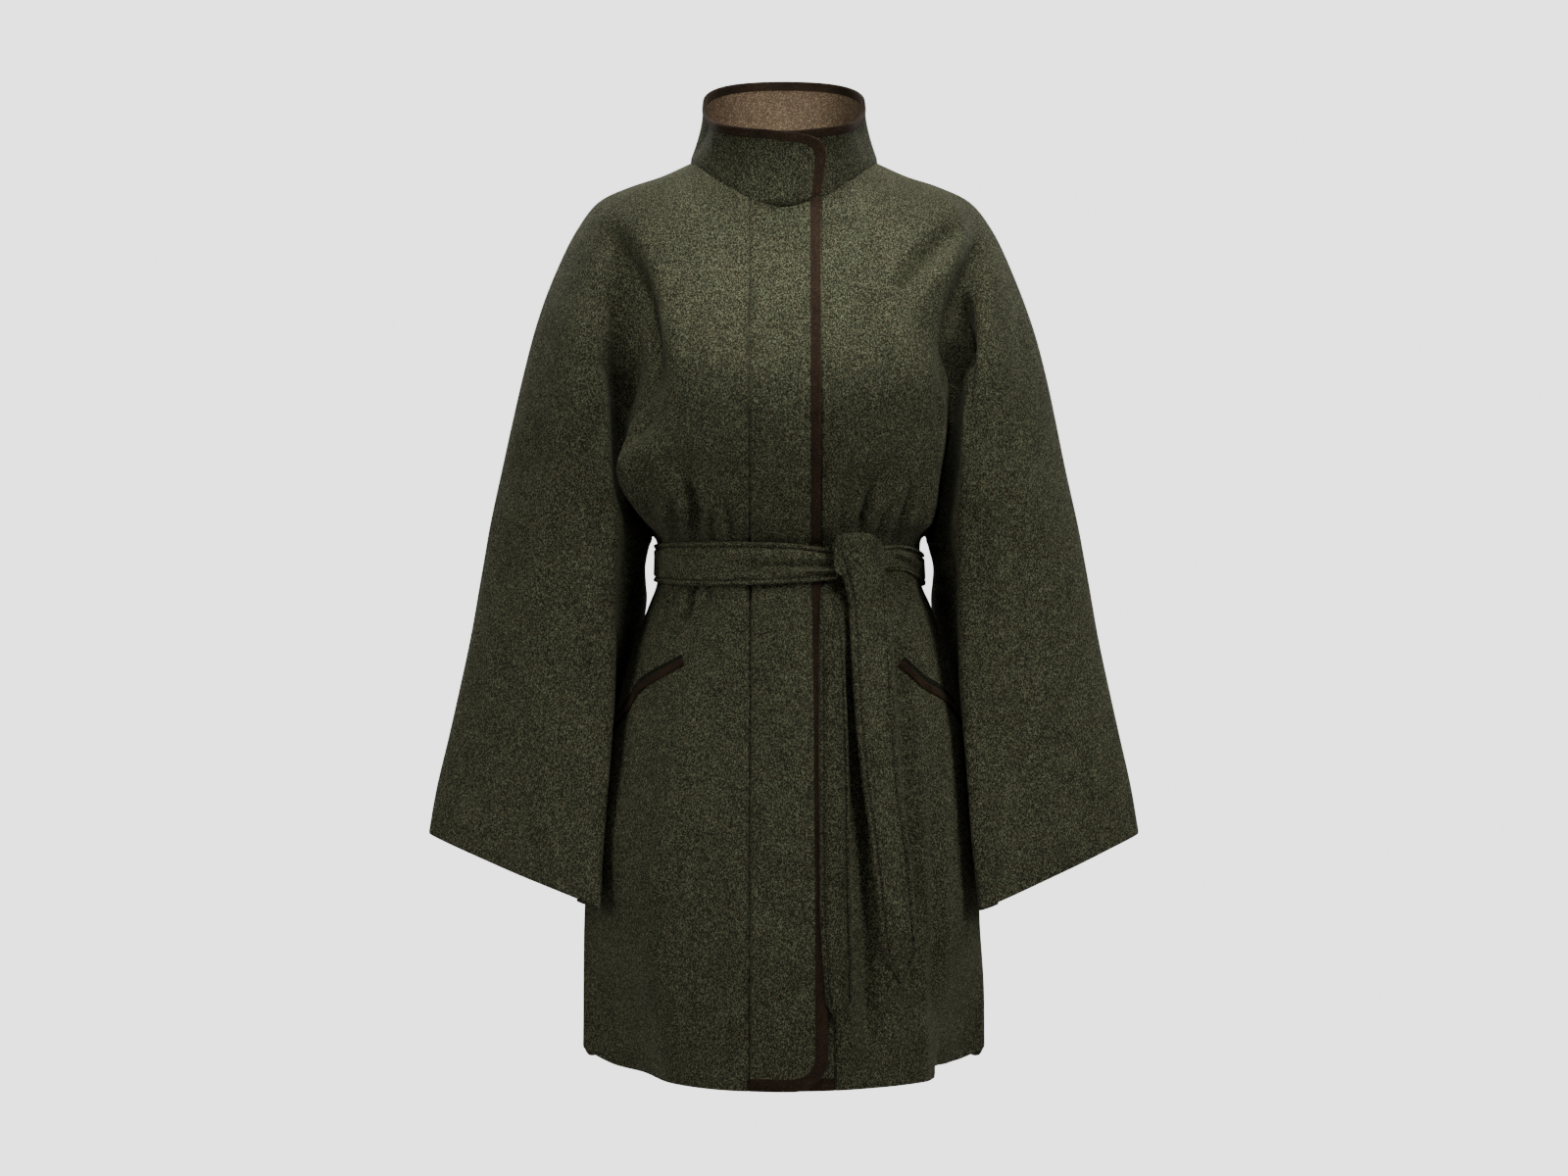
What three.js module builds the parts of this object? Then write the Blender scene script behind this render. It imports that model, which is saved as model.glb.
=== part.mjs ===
// Loden cape-coat: wide sleeves cut in one with the body, stand collar, suede binding, tied belt.
// Millimetres, +Z up, the front faces -Y and +X is the wearer's left.
// The origin lies at the base of the neck, midway between the two shoulder seams.
import * as THREE from 'three';

// Driving sizes
const clothWall = 2;
const seamGap = 0.3;
const neck = { halfWidth: 96, front: 84, back: 66, frontDrop: 57, backRise: 19 };
const collar = { rimHalfWidth: 82, rimFront: 75, rimBack: 67, rimMid: 58.8, rimTilt: 39, rimSide: 7.5,
  flare: 2.2, wall: 1.6, facingWall: 1, facingGap: 0.3, underAngle: 371, lift: 4.2, lapAngle: 15,
  cornerRadius: 12.5, standOff: 0.75, frontStraight: 0.2, endDip: 5 };
const binding = { width: 9.5, hemWidth: 12, gap: 0.35, cornerRadius: 15, proud: 1, chamfer: 1.2 };
const placket = { overSeamX: -33.6, overEdgeTopX: 26.5, overEdgeHemX: 30.5, underSeamTopX: 35,
  underSeamHemX: 49, underEdgeX: -20, sinkStartX: 12, lift: 3, sink: 3.6 };
const hemLevel = -916;
const belt = { thickness: 3, clearance: 1, lap: 4.6, segments: 52, crown: 0.5, middle: -408, slant: 1.2 };
const knot = { depth: 6.5, gap: 0.5, halfHeight: 16, middle: -404, places: [49, 55, 64, 74, 84, 93, 99] };

const viewerLeft = -1;
const viewerRight = 1;

// A table is a list of rows under named columns.
function table(columns, rows) {
  const names = columns.split(' ');
  return rows.map((row) => Object.fromEntries(names.map((name, place) => [name, row[place]])));
}

// Front levels from the neckline to the underarm, as x and y of the cloth at each named line:
// a overarm seam, b sleeve front, c sleeve's inner edge, h web, d underarm recess, g bodice side,
// e bodice edge, f breast, mid centre front. eR, dR and cR: how much further out the wearer's left is.
const frontUpper = table(
  'aX aZ midY midZ fX fY eX eY gX gY dX dY hX hY cX cY bX bY eR dR cR dip', [
    [96, 0, -84, -57, 40, -76.4, 71.5, -56, 82.5, -43, 89, -31.5, 91.3, -26, 93, -20.8, 95.5, -8.6,
      0, 0, 0, 0],
    [125, -13, -88, -72, 52, -83, 92, -63, 106, -49, 117, -33, 119, -28, 121.5, -21, 124.3, -9.5, 0, 0, 0, 0],
    [158, -23.5, -94, -95, 62, -90, 110, -72, 129, -57, 145, -38, 148.5, -32, 152, -24, 156.5, -10.5,
      0, 0, 0, 0],
    [190, -39, -101, -122, 68, -98, 122, -83, 146, -67, 166, -47, 172, -40, 178, -31, 186.5, -14, 0, 4, 0, 0],
    [213, -68, -109, -152, 72, -107, 128, -94, 152, -76, 172, -58, 181, -53, 190, -45, 205, -22, 0, 10, 0, 0],
    [234, -112, -117, -185, 74, -116, 126, -105, 150, -84, 166, -68, 177, -66, 190, -62, 218, -36,
      2, 14, 2, 0],
    [252, -162, -124, -215, 74, -124, 124, -111, 144, -86, 158, -64, 171, -70, 188, -74, 226, -50,
      6, 14, 3, 0],
    [265.5, -212, -127, -245, 74, -127, 119, -108, 142, -76, 162, -40, 172, -58, 182, -80, 232, -58,
      26, 8, 3, 0],
    [277, -262, -124, -280, 76, -120, 145, -90, 157, -50, 165, -14, 172, -46, 176, -80, 238, -62,
      10, 2, 3, 0],
    [287.5, -312, -117, -322, 88, -107, 164, -75, 159, -34, 161, -6, 169, -36, 173.5, -78, 242, -64,
      -11, -1, 4, 0],
    [300, -372, -107, -366, 78, -96, 136, -50, 131, -20, 134, 8, 155, -26, 170, -72, 246, -66,
      10, 10, 5, -11],
  ]);

// Back levels, by the same lines.
const backUpper = table(
  'aX aZ midY midZ fX fY eX eY gX gY dX dY hX hY cX cY bX bY eR dR cR dip', [
    [96, 0, 66, 19, 40, 60, 71.5, 44, 82.5, 33.7, 89, 24.7, 91.3, 20.4, 93, 16.4, 95.5, 6.7, 0, 0, 0, 0],
    [125, -13, 78, 2, 52, 72, 92, 54, 106, 41, 117, 28, 119, 24, 121.5, 18, 124.3, 8.5, 0, 0, 0, 0],
    [158, -23.5, 90, -20, 62, 85, 110, 67, 129, 52, 145, 35, 148.5, 30, 152, 23, 156.5, 10.5, 0, 0, 0, 0],
    [190, -39, 99, -48, 68, 95, 122, 79, 146, 64, 166, 46, 172, 40, 178, 31, 186.5, 14, 0, 0, 0, 0],
    [213, -68, 106, -86, 72, 102, 128, 88, 152, 73, 172, 57, 181, 50, 190, 42, 205, 22, 0, 0, 0, 0],
    [234, -112, 109, -130, 74, 105, 126, 92, 148, 79, 166, 67, 178, 62, 192, 55, 218, 34, 0, 0, 0, 0],
    [252, -162, 110, -176, 74, 106, 126, 92, 146, 77, 161, 64, 174, 64, 190, 64, 226, 46, 0, 0, 0, 0],
    [265.5, -212, 109, -222, 74, 105, 126, 90, 143, 72, 156, 56, 170, 61, 188, 69, 232, 54, 0, 0, 0, 0],
    [277, -262, 105, -270, 74, 101, 127, 84, 141, 64, 151, 45, 164, 54, 186, 71, 238, 59, 0, 1, 1, 0],
    [287.5, -312, 100, -318, 76, 95, 128, 73, 139, 50, 144, 30, 160, 44, 184, 70, 242, 63, 1, 3, 2, 0],
    [300, -372, 92, -366, 76, 84, 124, 54, 132, 30, 134, 8, 151, 27, 182, 66, 246, 64, 8, 10, 5, -11],
  ]);

// Body rings below the underarm: side seam x and y, centre front y, centre back y, and right, how much
// further out the side seam lies on the wearer's left.
const bodyRings = table('z sideX sideY frontY backY right', [
  [-384, 130, 8, -98, 88, 10],
  [-402, 128.5, 6, -97, 88, 11],
  [-428, 130, 6, -99, 91, 11],
  [-450, 138.5, 4, -106, 97, 12],
  [-480, 149.5, 2, -113, 104, 10],
  [-530, 164, 0, -122, 113, 7],
  [-580, 176, 0, -129, 122, 9],
  [-650, 191, 0, -137, 131, 2],
  [-700, 199, 0, -141, 136, -2],
  [-770, 204, 2, -146, 141, -5],
  [-845, 205.5, 6, -150, 146, -1],
  [-916, 206, 10, -153, 149, 0],
]);

// The sleeves below the underarm. in: the seam at the inner fold; the lines are those of the upper levels.
// inR and cR: how much further out the wearer's left is, zR: how much lower.
const sleeveFront = table('inX inY inZ hX hY cX cY cZ bX bY aX aZ inR cR zR', [
  [138, 12, -390, 161, -30, 170, -70, -398, 247, -66, 305, -400, 9, 5, 0],
  [142.5, 20, -410, 166, -26, 170, -69, -428, 249, -66, 311, -432, 10, 5, 0],
  [142, 34, -450, 169, -16, 170, -69, -478, 253, -66, 320, -480, 9, 6, 0],
  [161, 46, -530, 175, -12, 170, -70, -540, 258, -65, 331, -532, 7, 8, 0],
  [184, 54, -612, 191, -16, 174, -74, -612, 265, -63, 342, -585, 6, 8, 1],
  [197, 59, -686, 204, -18, 179, -78, -680, 272, -60, 353.5, -636, 4, 8, 1.5],
  [204, 60, -751, 208, -18, 182, -80, -748, 277, -58, 362, -682, 3, 12, 2.5],
]);
const sleeveBack = table('inX inY inZ hX hY cX cY cZ bX bY aX aZ inR cR zR', [
  [138, 12, -390, 158, 38, 186, 66, -398, 247, 64, 305, -400, 9, 5, 0],
  [142.5, 20, -410, 159, 44, 188, 66, -428, 250, 62, 311, -432, 10, 5, 0],
  [142, 34, -450, 160, 55, 192, 66, -478, 254, 61, 320, -480, 9, 6, 0],
  [161, 46, -530, 174, 62, 200, 68, -540, 260, 58, 331, -532, 7, 7, 0],
  [184, 54, -612, 195, 67, 216, 70, -612, 268, 56, 342, -585, 6, 6, 1],
  [197, 59, -686, 208, 71, 228, 72, -680, 276, 54, 353.5, -636, 4, 4, 1.5],
  [204, 60, -751, 214, 72, 234, 73, -748, 281, 52, 362, -682, 3, 3, 2.5],
]);

// Plan of the hem where the skirt falls into its two front flutes: x and y at the lines f, e and g, and
// how far the edge rises there and at the side seam d.
const hemPlan = {
  [viewerLeft]: { from: -680, fX: 110, fY: -112, eX: 142, eY: -52, gX: 176, gY: -14, eRise: 0, gRise: 2 },
  [viewerRight]: { from: -755, fX: 144, fY: -96, eX: 153, eY: -44, gX: 182, gY: -6, eRise: 3, gRise: 5 },
};
const sideRise = { height: 13, from: -790 };

// Largest soft folds, seen from the front: the line of each, half its width, and its depth into the cloth.
const folds = table('side x0 z0 x1 z1 reach depth', [
  [viewerLeft, 228, -330, 224, -560, 20, 4],
  [viewerLeft, 198, -330, 196, -540, 15, -3.5],
  [viewerLeft, 100, -300, 86, -366, 13, 7],
  [viewerLeft, 62, -310, 58, -364, 12, 3],
  [viewerLeft, 120, -290, 124, -356, 12, 4],
  [viewerLeft, 87, -436, 92, -486, 11, 4],
  [viewerRight, 206, -290, 212, -480, 16, -3.5],
  [viewerRight, 240, -330, 250, -560, 22, 4],
  [viewerRight, 122, -178, 168, -128, 13, 4],
  [viewerRight, 72, -312, 70, -372, 15, 7],
  [viewerRight, 103, -296, 98, -366, 12, 6],
  [viewerRight, 126, -300, 122, -362, 10, 4],
  [viewerRight, 74, -336, 74, -394, 27, 9],
  [viewerRight, 120, -436, 128, -480, 11, 4],
]);

// Belt edges round the waist: turn in degrees from the centre front towards the wearer's left.
const beltEdges = table('turn top bottom', [
  [-180, -387, -431],
  [-90, -387, -426],
  [-35, -386, -430],
  [0, -388, -428],
  [24, -394, -423],
  [52, -389, -414],
  [90, -396, -430],
  [180, -387, -431],
]);

// Tails of the belt, by level: left and right edge, how far they stand off the skirt.
const tailOver = table('z left right off', [
  [-394, 52, 96.5, 0],
  [-422, 59.5, 101.5, 0],
  [-451, 65, 104, 6],
  [-497, 67, 107, 4],
  [-537, 69, 108.5, 3],
  [-580, 72.5, 111, 2],
  [-622, 77, 114, 2],
  [-661, 83, 119, 2],
  [-707, 88, 125, 2],
  [-787, 97, 131, 2],
]);
const tailUnder = table('z left right off', [
  [-437, 41, 64, 0],
  [-463, 38, 64, 0],
  [-514, 36, 63, 0],
  [-596, 34, 64, 0],
  [-678, 34.5, 65, 0],
  [-739, 35, 66, 0],
  [-831, 40.6, 67.6, 0],
]);
const tailTip = { overX: 115.5, overZ: -817, underX: 51.5, underZ: -849 };

// Materials
const cloth = (name, color, roughness) => (
  new THREE.MeshStandardMaterial({ name, color, roughness, metalness: 0 }));
const loden = cloth('loden', 0x5c5f50, 0.95);
const facingCloth = cloth('collar facing', 0x6d6150, 0.95);
const suede = cloth('suede', 0x4a3a33, 0.85);

const vec = (x, y, z) => new THREE.Vector3(x, y, z);
const mix = (from, to, share) => from + (to - from) * share;
const clamp01 = (value) => Math.min(1, Math.max(0, value));
const degrees = THREE.MathUtils.radToDeg;
const radians = THREE.MathUtils.degToRad;
const ease = (value) => {
  const share = clamp01(value);
  return share * share * (3 - 2 * share);
};

// Centripetal Catmull-Rom curve through points at t = 0, 1, 2 ... with the points before and after.
function spline(points, t, before, after) {
  const last = points.length - 1;
  const start = Math.min(last - 1, Math.max(0, Math.floor(t)));
  const share = t - start;
  const p1 = points[start];
  const p2 = points[start + 1];
  const p0 = points[start - 1] ?? before ?? p1.clone().multiplyScalar(2).sub(p2);
  const p3 = points[start + 2] ?? after ?? p2.clone().multiplyScalar(2).sub(p1);
  const d0 = Math.sqrt(p0.distanceTo(p1)) + 1e-6;
  const d1 = Math.sqrt(p1.distanceTo(p2)) + 1e-6;
  const d2 = Math.sqrt(p2.distanceTo(p3)) + 1e-6;
  const tangent = (a, b, c, da, db) => b.clone().sub(a).divideScalar(da)
    .sub(c.clone().sub(a).divideScalar(da + db))
    .add(c.clone().sub(b).divideScalar(db))
    .multiplyScalar(d1);
  const m1 = tangent(p0, p1, p2, d0, d1);
  const m2 = tangent(p1, p2, p3, d1, d2);
  const s2 = share * share;
  const s3 = s2 * share;
  return p1.clone().multiplyScalar(2 * s3 - 3 * s2 + 1)
    .addScaledVector(m1, s3 - 2 * s2 + share)
    .addScaledVector(p2, 3 * s2 - 2 * s3)
    .addScaledVector(m2, s3 - s2);
}

// Pocket openings on the body: u counts the lines from the centre, z the height of the lower edge.
const pocket = { bandWidth: 9.5, facingWidth: 9, lift: 0.5, thickness: 1.5,
  path: {
    [viewerLeft]: table('u z', [[2.2, -508], [2.86, -535], [3.16, -556], [3.93, -573], [4.6, -588]]),
    [viewerRight]: table('u z', [[2.39, -508], [2.72, -533], [3.17, -547], [3.73, -562], [4.6, -588]]),
  } };

// Value of one column between the rows of a table, smooth and without overshoot.
function between(rows, key, at, column) {
  const down = rows[0][key] > rows[rows.length - 1][key] ? -1 : 1;
  const keys = rows.map((row) => row[key] * down);
  const place = Math.min(keys[keys.length - 1], Math.max(keys[0], at * down));
  let i = 0;
  while (i < keys.length - 2 && place > keys[i + 1]) i += 1;
  const slope = (n) => (rows[n + 1][column] - rows[n][column]) / (keys[n + 1] - keys[n]);
  const bend = (n) => {
    if (n <= 0) return slope(0);
    if (n >= keys.length - 1) return slope(keys.length - 2);
    const product = slope(n - 1) * slope(n);
    return product <= 0 ? 0 : (2 * product) / (slope(n - 1) + slope(n));
  };
  const span = keys[i + 1] - keys[i];
  const s = (place - keys[i]) / span;
  return rows[i][column] * (2 * s ** 3 - 3 * s ** 2 + 1) + bend(i) * span * (s ** 3 - 2 * s ** 2 + s)
    + rows[i + 1][column] * (3 * s ** 2 - 2 * s ** 3) + bend(i + 1) * span * (s ** 3 - s ** 2);
}

// The upper level's lines as points. Height falls from the overarm seam to the centre by the same curve.
const bodyLines = ['mid', 'n', 'f', 'e', 'g', 'd'];
const sleeveLines = ['d', 'h', 'c', 'm', 'b', 'a'];
const slopePower = 1.6;
const lineDip = { d: 1, g: 0.5, h: 0.4 };
const sleevePuff = 4;
const partLines = { upper: [...bodyLines, ...sleeveLines.slice(1)], body: bodyLines, sleeve: sleeveLines };

function upperLevel(row, side, index) {
  const right = side === viewerRight ? 1 : 0;
  const shift = { e: row.eR, g: (row.eR + row.dR) / 2, d: row.dR, h: (row.dR + row.cR) / 2, c: row.cR };
  const level = (x) => mix(row.midZ, row.aZ, clamp01(x / row.aX) ** slopePower);
  const at = (line, x, y) => {
    const outX = x + right * (shift[line] ?? 0);
    return vec(side * outX, y, level(outX) + row.dip * (lineDip[line] ?? 0));
  };
  const puff = ease((index - 4) / 3) * sleevePuff * Math.sign(row.bY);
  const c = at('c', row.cX, row.cY);
  const b = at('b', row.bX, row.bY);
  const m = c.clone().lerp(b, 0.3).add(vec(0, puff, 0));
  return {
    mid: at('mid', 0, row.midY),
    n: at('n', row.fX * 0.5, mix(row.midY, row.fY, 0.24)),
    f: at('f', row.fX, row.fY),
    e: at('e', row.eX, row.eY),
    g: at('g', row.gX, row.gY),
    d: at('d', row.dX, row.dY),
    h: at('h', row.hX, row.hY),
    c,
    m,
    b,
    a: vec(side * row.aX, 0, row.aZ),
  };
}

// A body ring's lines: an ellipse, blended near the hem into the flutes of the front.
const ringTurns = { n: 16, f: 33, e: 63, g: 78 };

function ringLevel(row, side, face) {
  const outX = row.sideX + (side === viewerRight ? row.right : 0);
  const farY = face === 'front' ? row.frontY : row.backY;
  const plan = hemPlan[side];
  const fluted = face === 'front' ? ease((plan.from - row.z) / (plan.from - hemLevel)) : 0;
  const rising = ease((sideRise.from - row.z) / (sideRise.from - hemLevel));
  const at = (line) => {
    const turn = radians(ringTurns[line]);
    const x = outX * Math.sin(turn);
    const y = mix(row.sideY, farY, Math.cos(turn));
    const hemX = plan[`${line}X`] ?? x;
    const hemY = plan[`${line}Y`] ?? y;
    const rise = (plan[`${line}Rise`] ?? 0) * rising * fluted;
    return vec(side * mix(x, hemX, fluted), mix(y, hemY, fluted), row.z + rise);
  };
  return {
    mid: vec(0, farY, row.z),
    n: at('n'),
    f: at('f'),
    e: at('e'),
    g: at('g'),
    d: vec(side * outX, row.sideY, row.z + sideRise.height * rising),
  };
}

function sleeveLevel(row, side) {
  const right = side === viewerRight ? 1 : 0;
  const cX = row.cX + right * row.cR;
  const inX = row.inX + right * row.inR;
  const hX = row.hX + right * (row.inR + row.cR) / 2;
  const lowZ = row.cZ - right * row.zR;
  const level = (x) => mix(lowZ, row.aZ, clamp01((x - cX) / (row.aX - cX)));
  const c = vec(side * cX, row.cY, lowZ);
  const b = vec(side * row.bX, row.bY, level(row.bX));
  return {
    d: vec(side * inX, row.inY, row.inZ - right * row.zR),
    h: vec(side * hX, row.hY, mix(row.inZ, row.cZ, 0.5) - right * row.zR),
    c,
    m: c.clone().lerp(b, 0.3).add(vec(0, sleevePuff * Math.sign(row.bY), 0)),
    b,
    a: vec(side * row.aX, 0, row.aZ),
  };
}

// The cloth of one quarter of the garment: face 'front' or 'back', side left or right of the viewer.
const underarm = frontUpper.length - 1;
const hemRow = underarm + bodyRings.length;
const cuffRow = underarm + sleeveFront.length;

function makeQuarter(face, side) {
  const upperTable = face === 'front' ? frontUpper : backUpper;
  const sleeveTable = face === 'front' ? sleeveFront : sleeveBack;
  const upper = upperTable.map((row, index) => upperLevel(row, side, index));
  const rings = bodyRings.map((row) => ringLevel(row, side, face));
  const cuffs = sleeveTable.map((row) => sleeveLevel(row, side));
  const line = (levels, name) => levels.map((level) => level[name]);
  const lineAt = (part, name, v) => {
    if (name === 'd') {
      if (part === 'upper') return spline(line(upper, 'd'), v);
      const lower = line([upper[underarm], ...(part === 'body' ? rings : cuffs)], 'd');
      return spline(lower, v - underarm);
    }
    const below = bodyLines.includes(name) ? rings : cuffs;
    return spline(line([...upper, ...below], name), v);
  };
  const mirrorX = (point) => vec(-point.x, point.y, point.z);
  const mirrorAt = (point, seam) => vec(point.x, 2 * seam.y - point.y, point.z);
  // Point on the cloth: u counts the lines of that part from its first line.
  return (part, u, v) => {
    const names = partLines[part];
    const points = names.map((name) => lineAt(part, name, v));
    const last = points.length - 1;
    const before = part === 'sleeve' ? mirrorAt(points[1], points[0]) : mirrorX(points[1]);
    const after = mirrorAt(points[last - 1], points[last]);
    return spline(points, u, before, after);
  };
}

const quarters = {};
for (const face of ['front', 'back']) {
  for (const side of [viewerLeft, viewerRight]) {
    quarters[face + side] = makeQuarter(face, side);
  }
}

// Outward direction of the cloth at a point.
function clothNormal(face, side, part, u, v) {
  const point = quarters[face + side];
  const step = 0.02;
  const across = point(part, u + step, v).sub(point(part, u - step, v));
  const down = point(part, u, v + step).sub(point(part, u, v - step));
  const normal = across.cross(down).normalize();
  const outward = face === 'front' ? -side : side;
  return normal.multiplyScalar(outward);
}

// Depth of the soft folds at a point of the front.
function foldDepth(side, point, normal) {
  let depth = 0;
  for (const fold of folds.filter((row) => row.side === side)) {
    const lineX = fold.x1 - fold.x0;
    const lineZ = fold.z1 - fold.z0;
    const outX = side * point.x;
    const share = ((outX - fold.x0) * lineX + (point.z - fold.z0) * lineZ) / (lineX ** 2 + lineZ ** 2);
    const away = Math.hypot(outX - fold.x0 - lineX * share, point.z - fold.z0 - lineZ * share);
    const fade = ease(share / 0.3) * ease((1 - share) / 0.2);
    depth += fold.depth * fade * Math.exp(-((away / fold.reach) ** 2));
  }
  return depth * ease((-normal.y - 0.2) / 0.4);
}

function clothPoint(face, side, part, u, v, lift = 0) {
  const point = quarters[face + side](part, u, v);
  const normal = clothNormal(face, side, part, u, v);
  const depth = face === 'front' ? foldDepth(side, point, normal) : 0;
  return point.addScaledVector(normal, lift - depth);
}

// Where a level crosses a given distance from the centre line, counted in lines.
function lineAtX(face, side, part, x, v) {
  let low = 0;
  let high = 2;
  for (let step = 0; step < 24; step += 1) {
    const middle = (low + high) / 2;
    if (Math.abs(quarters[face + side](part, middle, v).x) < x) low = middle;
    else high = middle;
  }
  return (low + high) / 2;
}

// A sheet is welded from grids of outer points and given its wall towards the inside.
// Each grid point is { at, flat }: flat 'x' or 'y' keeps the cut edge square to that axis at a seam.
function thickSheet(grids, wall, turned) {
  const points = [];
  const flats = [];
  const places = new Map();
  const indexOf = (entry) => {
    const key = [entry.at.x, entry.at.y, entry.at.z].map((value) => value.toFixed(3)).join(' ');
    if (!places.has(key)) {
      places.set(key, points.length);
      points.push(entry.at);
      flats.push(entry.flat);
    }
    const index = places.get(key);
    flats[index] = flats[index] ?? entry.flat;
    return index;
  };
  const outer = [];
  for (const grid of grids) {
    const ids = grid.map((row) => row.map(indexOf));
    for (let r = 0; r + 1 < ids.length; r += 1) {
      for (let c = 0; c + 1 < ids[r].length; c += 1) {
        const corners = [ids[r][c], ids[r][c + 1], ids[r + 1][c + 1], ids[r + 1][c]];
        if (turned) corners.reverse();
        const [p, q, s, t] = corners;
        for (const face of [[p, q, s], [p, s, t]]) {
          if (new Set(face).size === 3) outer.push(face);
        }
      }
    }
  }
  const normals = points.map(() => vec(0, 0, 0));
  for (const [p, q, s] of outer) {
    const area = points[q].clone().sub(points[p]).cross(points[s].clone().sub(points[p]));
    for (const index of [p, q, s]) normals[index].add(area);
  }
  normals.forEach((normal, index) => {
    if (flats[index]) normal[flats[index]] = 0;
    normal.normalize();
  });
  const inner = points.map((point, index) => point.clone().addScaledVector(normals[index], -wall));
  const count = points.length;
  const faces = [...outer, ...outer.map(([p, q, s]) => [s + count, q + count, p + count])];
  const edges = new Map();
  for (const face of outer) {
    face.forEach((from, place) => {
      const to = face[(place + 1) % 3];
      edges.set(`${from} ${to}`, [from, to]);
    });
  }
  for (const [from, to] of edges.values()) {
    if (edges.has(`${to} ${from}`)) continue;
    faces.push([to, from, from + count], [to, from + count, to + count]);
  }
  return solidOf([...points, ...inner], faces);
}

function solidOf(points, faces) {
  const geometry = new THREE.BufferGeometry();
  const coordinates = points.flatMap((point) => [point.x, point.y, point.z]);
  geometry.setAttribute('position', new THREE.Float32BufferAttribute(coordinates, 3));
  geometry.setIndex(faces.flat());
  geometry.computeVertexNormals();
  return geometry;
}

// A closed section carried along rings of equal length, with flat ends, or joined into a loop.
function sweptSolid(rings, { loop = false, turned = false } = {}) {
  const size = rings[0].length;
  const points = rings.flat();
  const faces = [];
  const add = (a, b, c) => faces.push(turned ? [c, b, a] : [a, b, c]);
  const spans = loop ? rings.length : rings.length - 1;
  for (let r = 0; r < spans; r += 1) {
    const next = (r + 1) % rings.length;
    for (let k = 0; k < size; k += 1) {
      const after = (k + 1) % size;
      add(r * size + k, r * size + after, next * size + after);
      add(r * size + k, next * size + after, next * size + k);
    }
  }
  if (!loop) {
    for (const [start, flip] of [[0, false], [(rings.length - 1) * size, true]]) {
      const outline = rings[start / size];
      const origin = outline[0];
      const axisU = outline[1].clone().sub(origin).normalize();
      const far = outline[Math.floor(size / 2)].clone().sub(origin);
      const axisV = far.addScaledVector(axisU, -far.dot(axisU)).normalize();
      const flat = outline.map((point) => {
        const offset = point.clone().sub(origin);
        return new THREE.Vector2(offset.dot(axisU), offset.dot(axisV));
      });
      const clockwise = THREE.ShapeUtils.isClockWise(flat);
      for (const [a, b, c] of THREE.ShapeUtils.triangulateShape(flat, [])) {
        const corners = clockwise ? [a, b, c] : [c, b, a];
        const ordered = flip ? corners.reverse() : corners;
        add(start + ordered[0], start + ordered[1], start + ordered[2]);
      }
    }
  }
  return solidOf(points, faces);
}

const cape = new THREE.Group();

function addPiece(name, geometry, material) {
  const mesh = new THREE.Mesh(geometry, material.clone());
  mesh.name = name;
  cape.add(mesh);
}

const steps = (from, to, count) => (
  Array.from({ length: count + 1 }, (_, place) => mix(from, to, place / count)));

// Levels of a panel: the tables' rows, with as many steps between two rows as their distance needs.
const upperLevels = [0, 0.5, 1, 1.5, 2, 3, 4, 4.5, 5, 5.5, 6, 6.5, 7, 7.5, 8, 8.5, 9, 9.5, 10];
const backLevels = [0, 0.5, 1, 1.5, 2, 3, 4, 5, 6, 7, 8, 9, 9.5, 10];
const bodyLevels = [10, 10.5, 11, 12, 13, 14, 15, 16, 17, 18, 19, 20, 20.5, 21, 21.5, 22];
const sleeveLevels = [10, 11, 12, 13, 13.5, 14, 15, 16, 17];
const bodySteps = [2.5, 3, 3.5, 4, 4.5, 5];
const sleeveSteps = [5.5, 6, 6.5, 7, 8, 8.5, 9, 9.4, 9.7, 10];
const sleeveShare = 5;

function seamX(side, v) {
  if (side === viewerLeft) return -placket.overSeamX;
  return mix(placket.underSeamTopX, placket.underSeamHemX, ease((v - underarm) / (hemRow - underarm)));
}

function panelPoint(face, side, part, u, v, flat) {
  const at = clothPoint(face, side, part, u, v);
  const away = seamGap / 2;
  if (flat === 'y') at.y += face === 'front' ? -away : away;
  if (flat === 'x') at.x += side * away;
  return { at, flat };
}

// Front panel and the front of its sleeve in one piece, from the placket seam to the overarm seam.
function frontPanel(side) {
  const near = (part, v) => {
    const first = lineAtX('front', side, part, seamX(side, v), v);
    return steps(first, 2, 3);
  };
  const upperRow = (v) => [...near('upper', v), ...bodySteps, ...sleeveSteps];
  const upper = upperLevels.map((v) => upperRow(v).map((u, place, all) => {
    const edge = place === all.length - 1 ? 'y' : place === 0 ? 'x' : undefined;
    const apex = v === underarm && u === sleeveShare ? 'y' : undefined;
    return panelPoint('front', side, 'upper', u, v, edge ?? apex);
  }));
  const bodyWidth = 4 + bodySteps.length;
  const body = bodyLevels.slice(1).map((v) => [...near('body', v), ...bodySteps].map((u, place, all) => {
    const edge = place === all.length - 1 ? 'y' : place === 0 ? 'x' : undefined;
    return panelPoint('front', side, 'body', u, v, edge);
  }));
  const cuffs = sleeveLevels.slice(1).map((v) => [sleeveShare, ...sleeveSteps].map((u, place, all) => {
    const edge = place === 0 || place === all.length - 1 ? 'y' : undefined;
    return panelPoint('front', side, 'sleeve', u - sleeveShare, v, edge);
  }));
  const join = upper[upper.length - 1];
  const grids = [upper, [join.slice(0, bodyWidth), ...body], [join.slice(bodyWidth - 1), ...cuffs]];
  return thickSheet(grids, clothWall, side === viewerRight);
}

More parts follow.
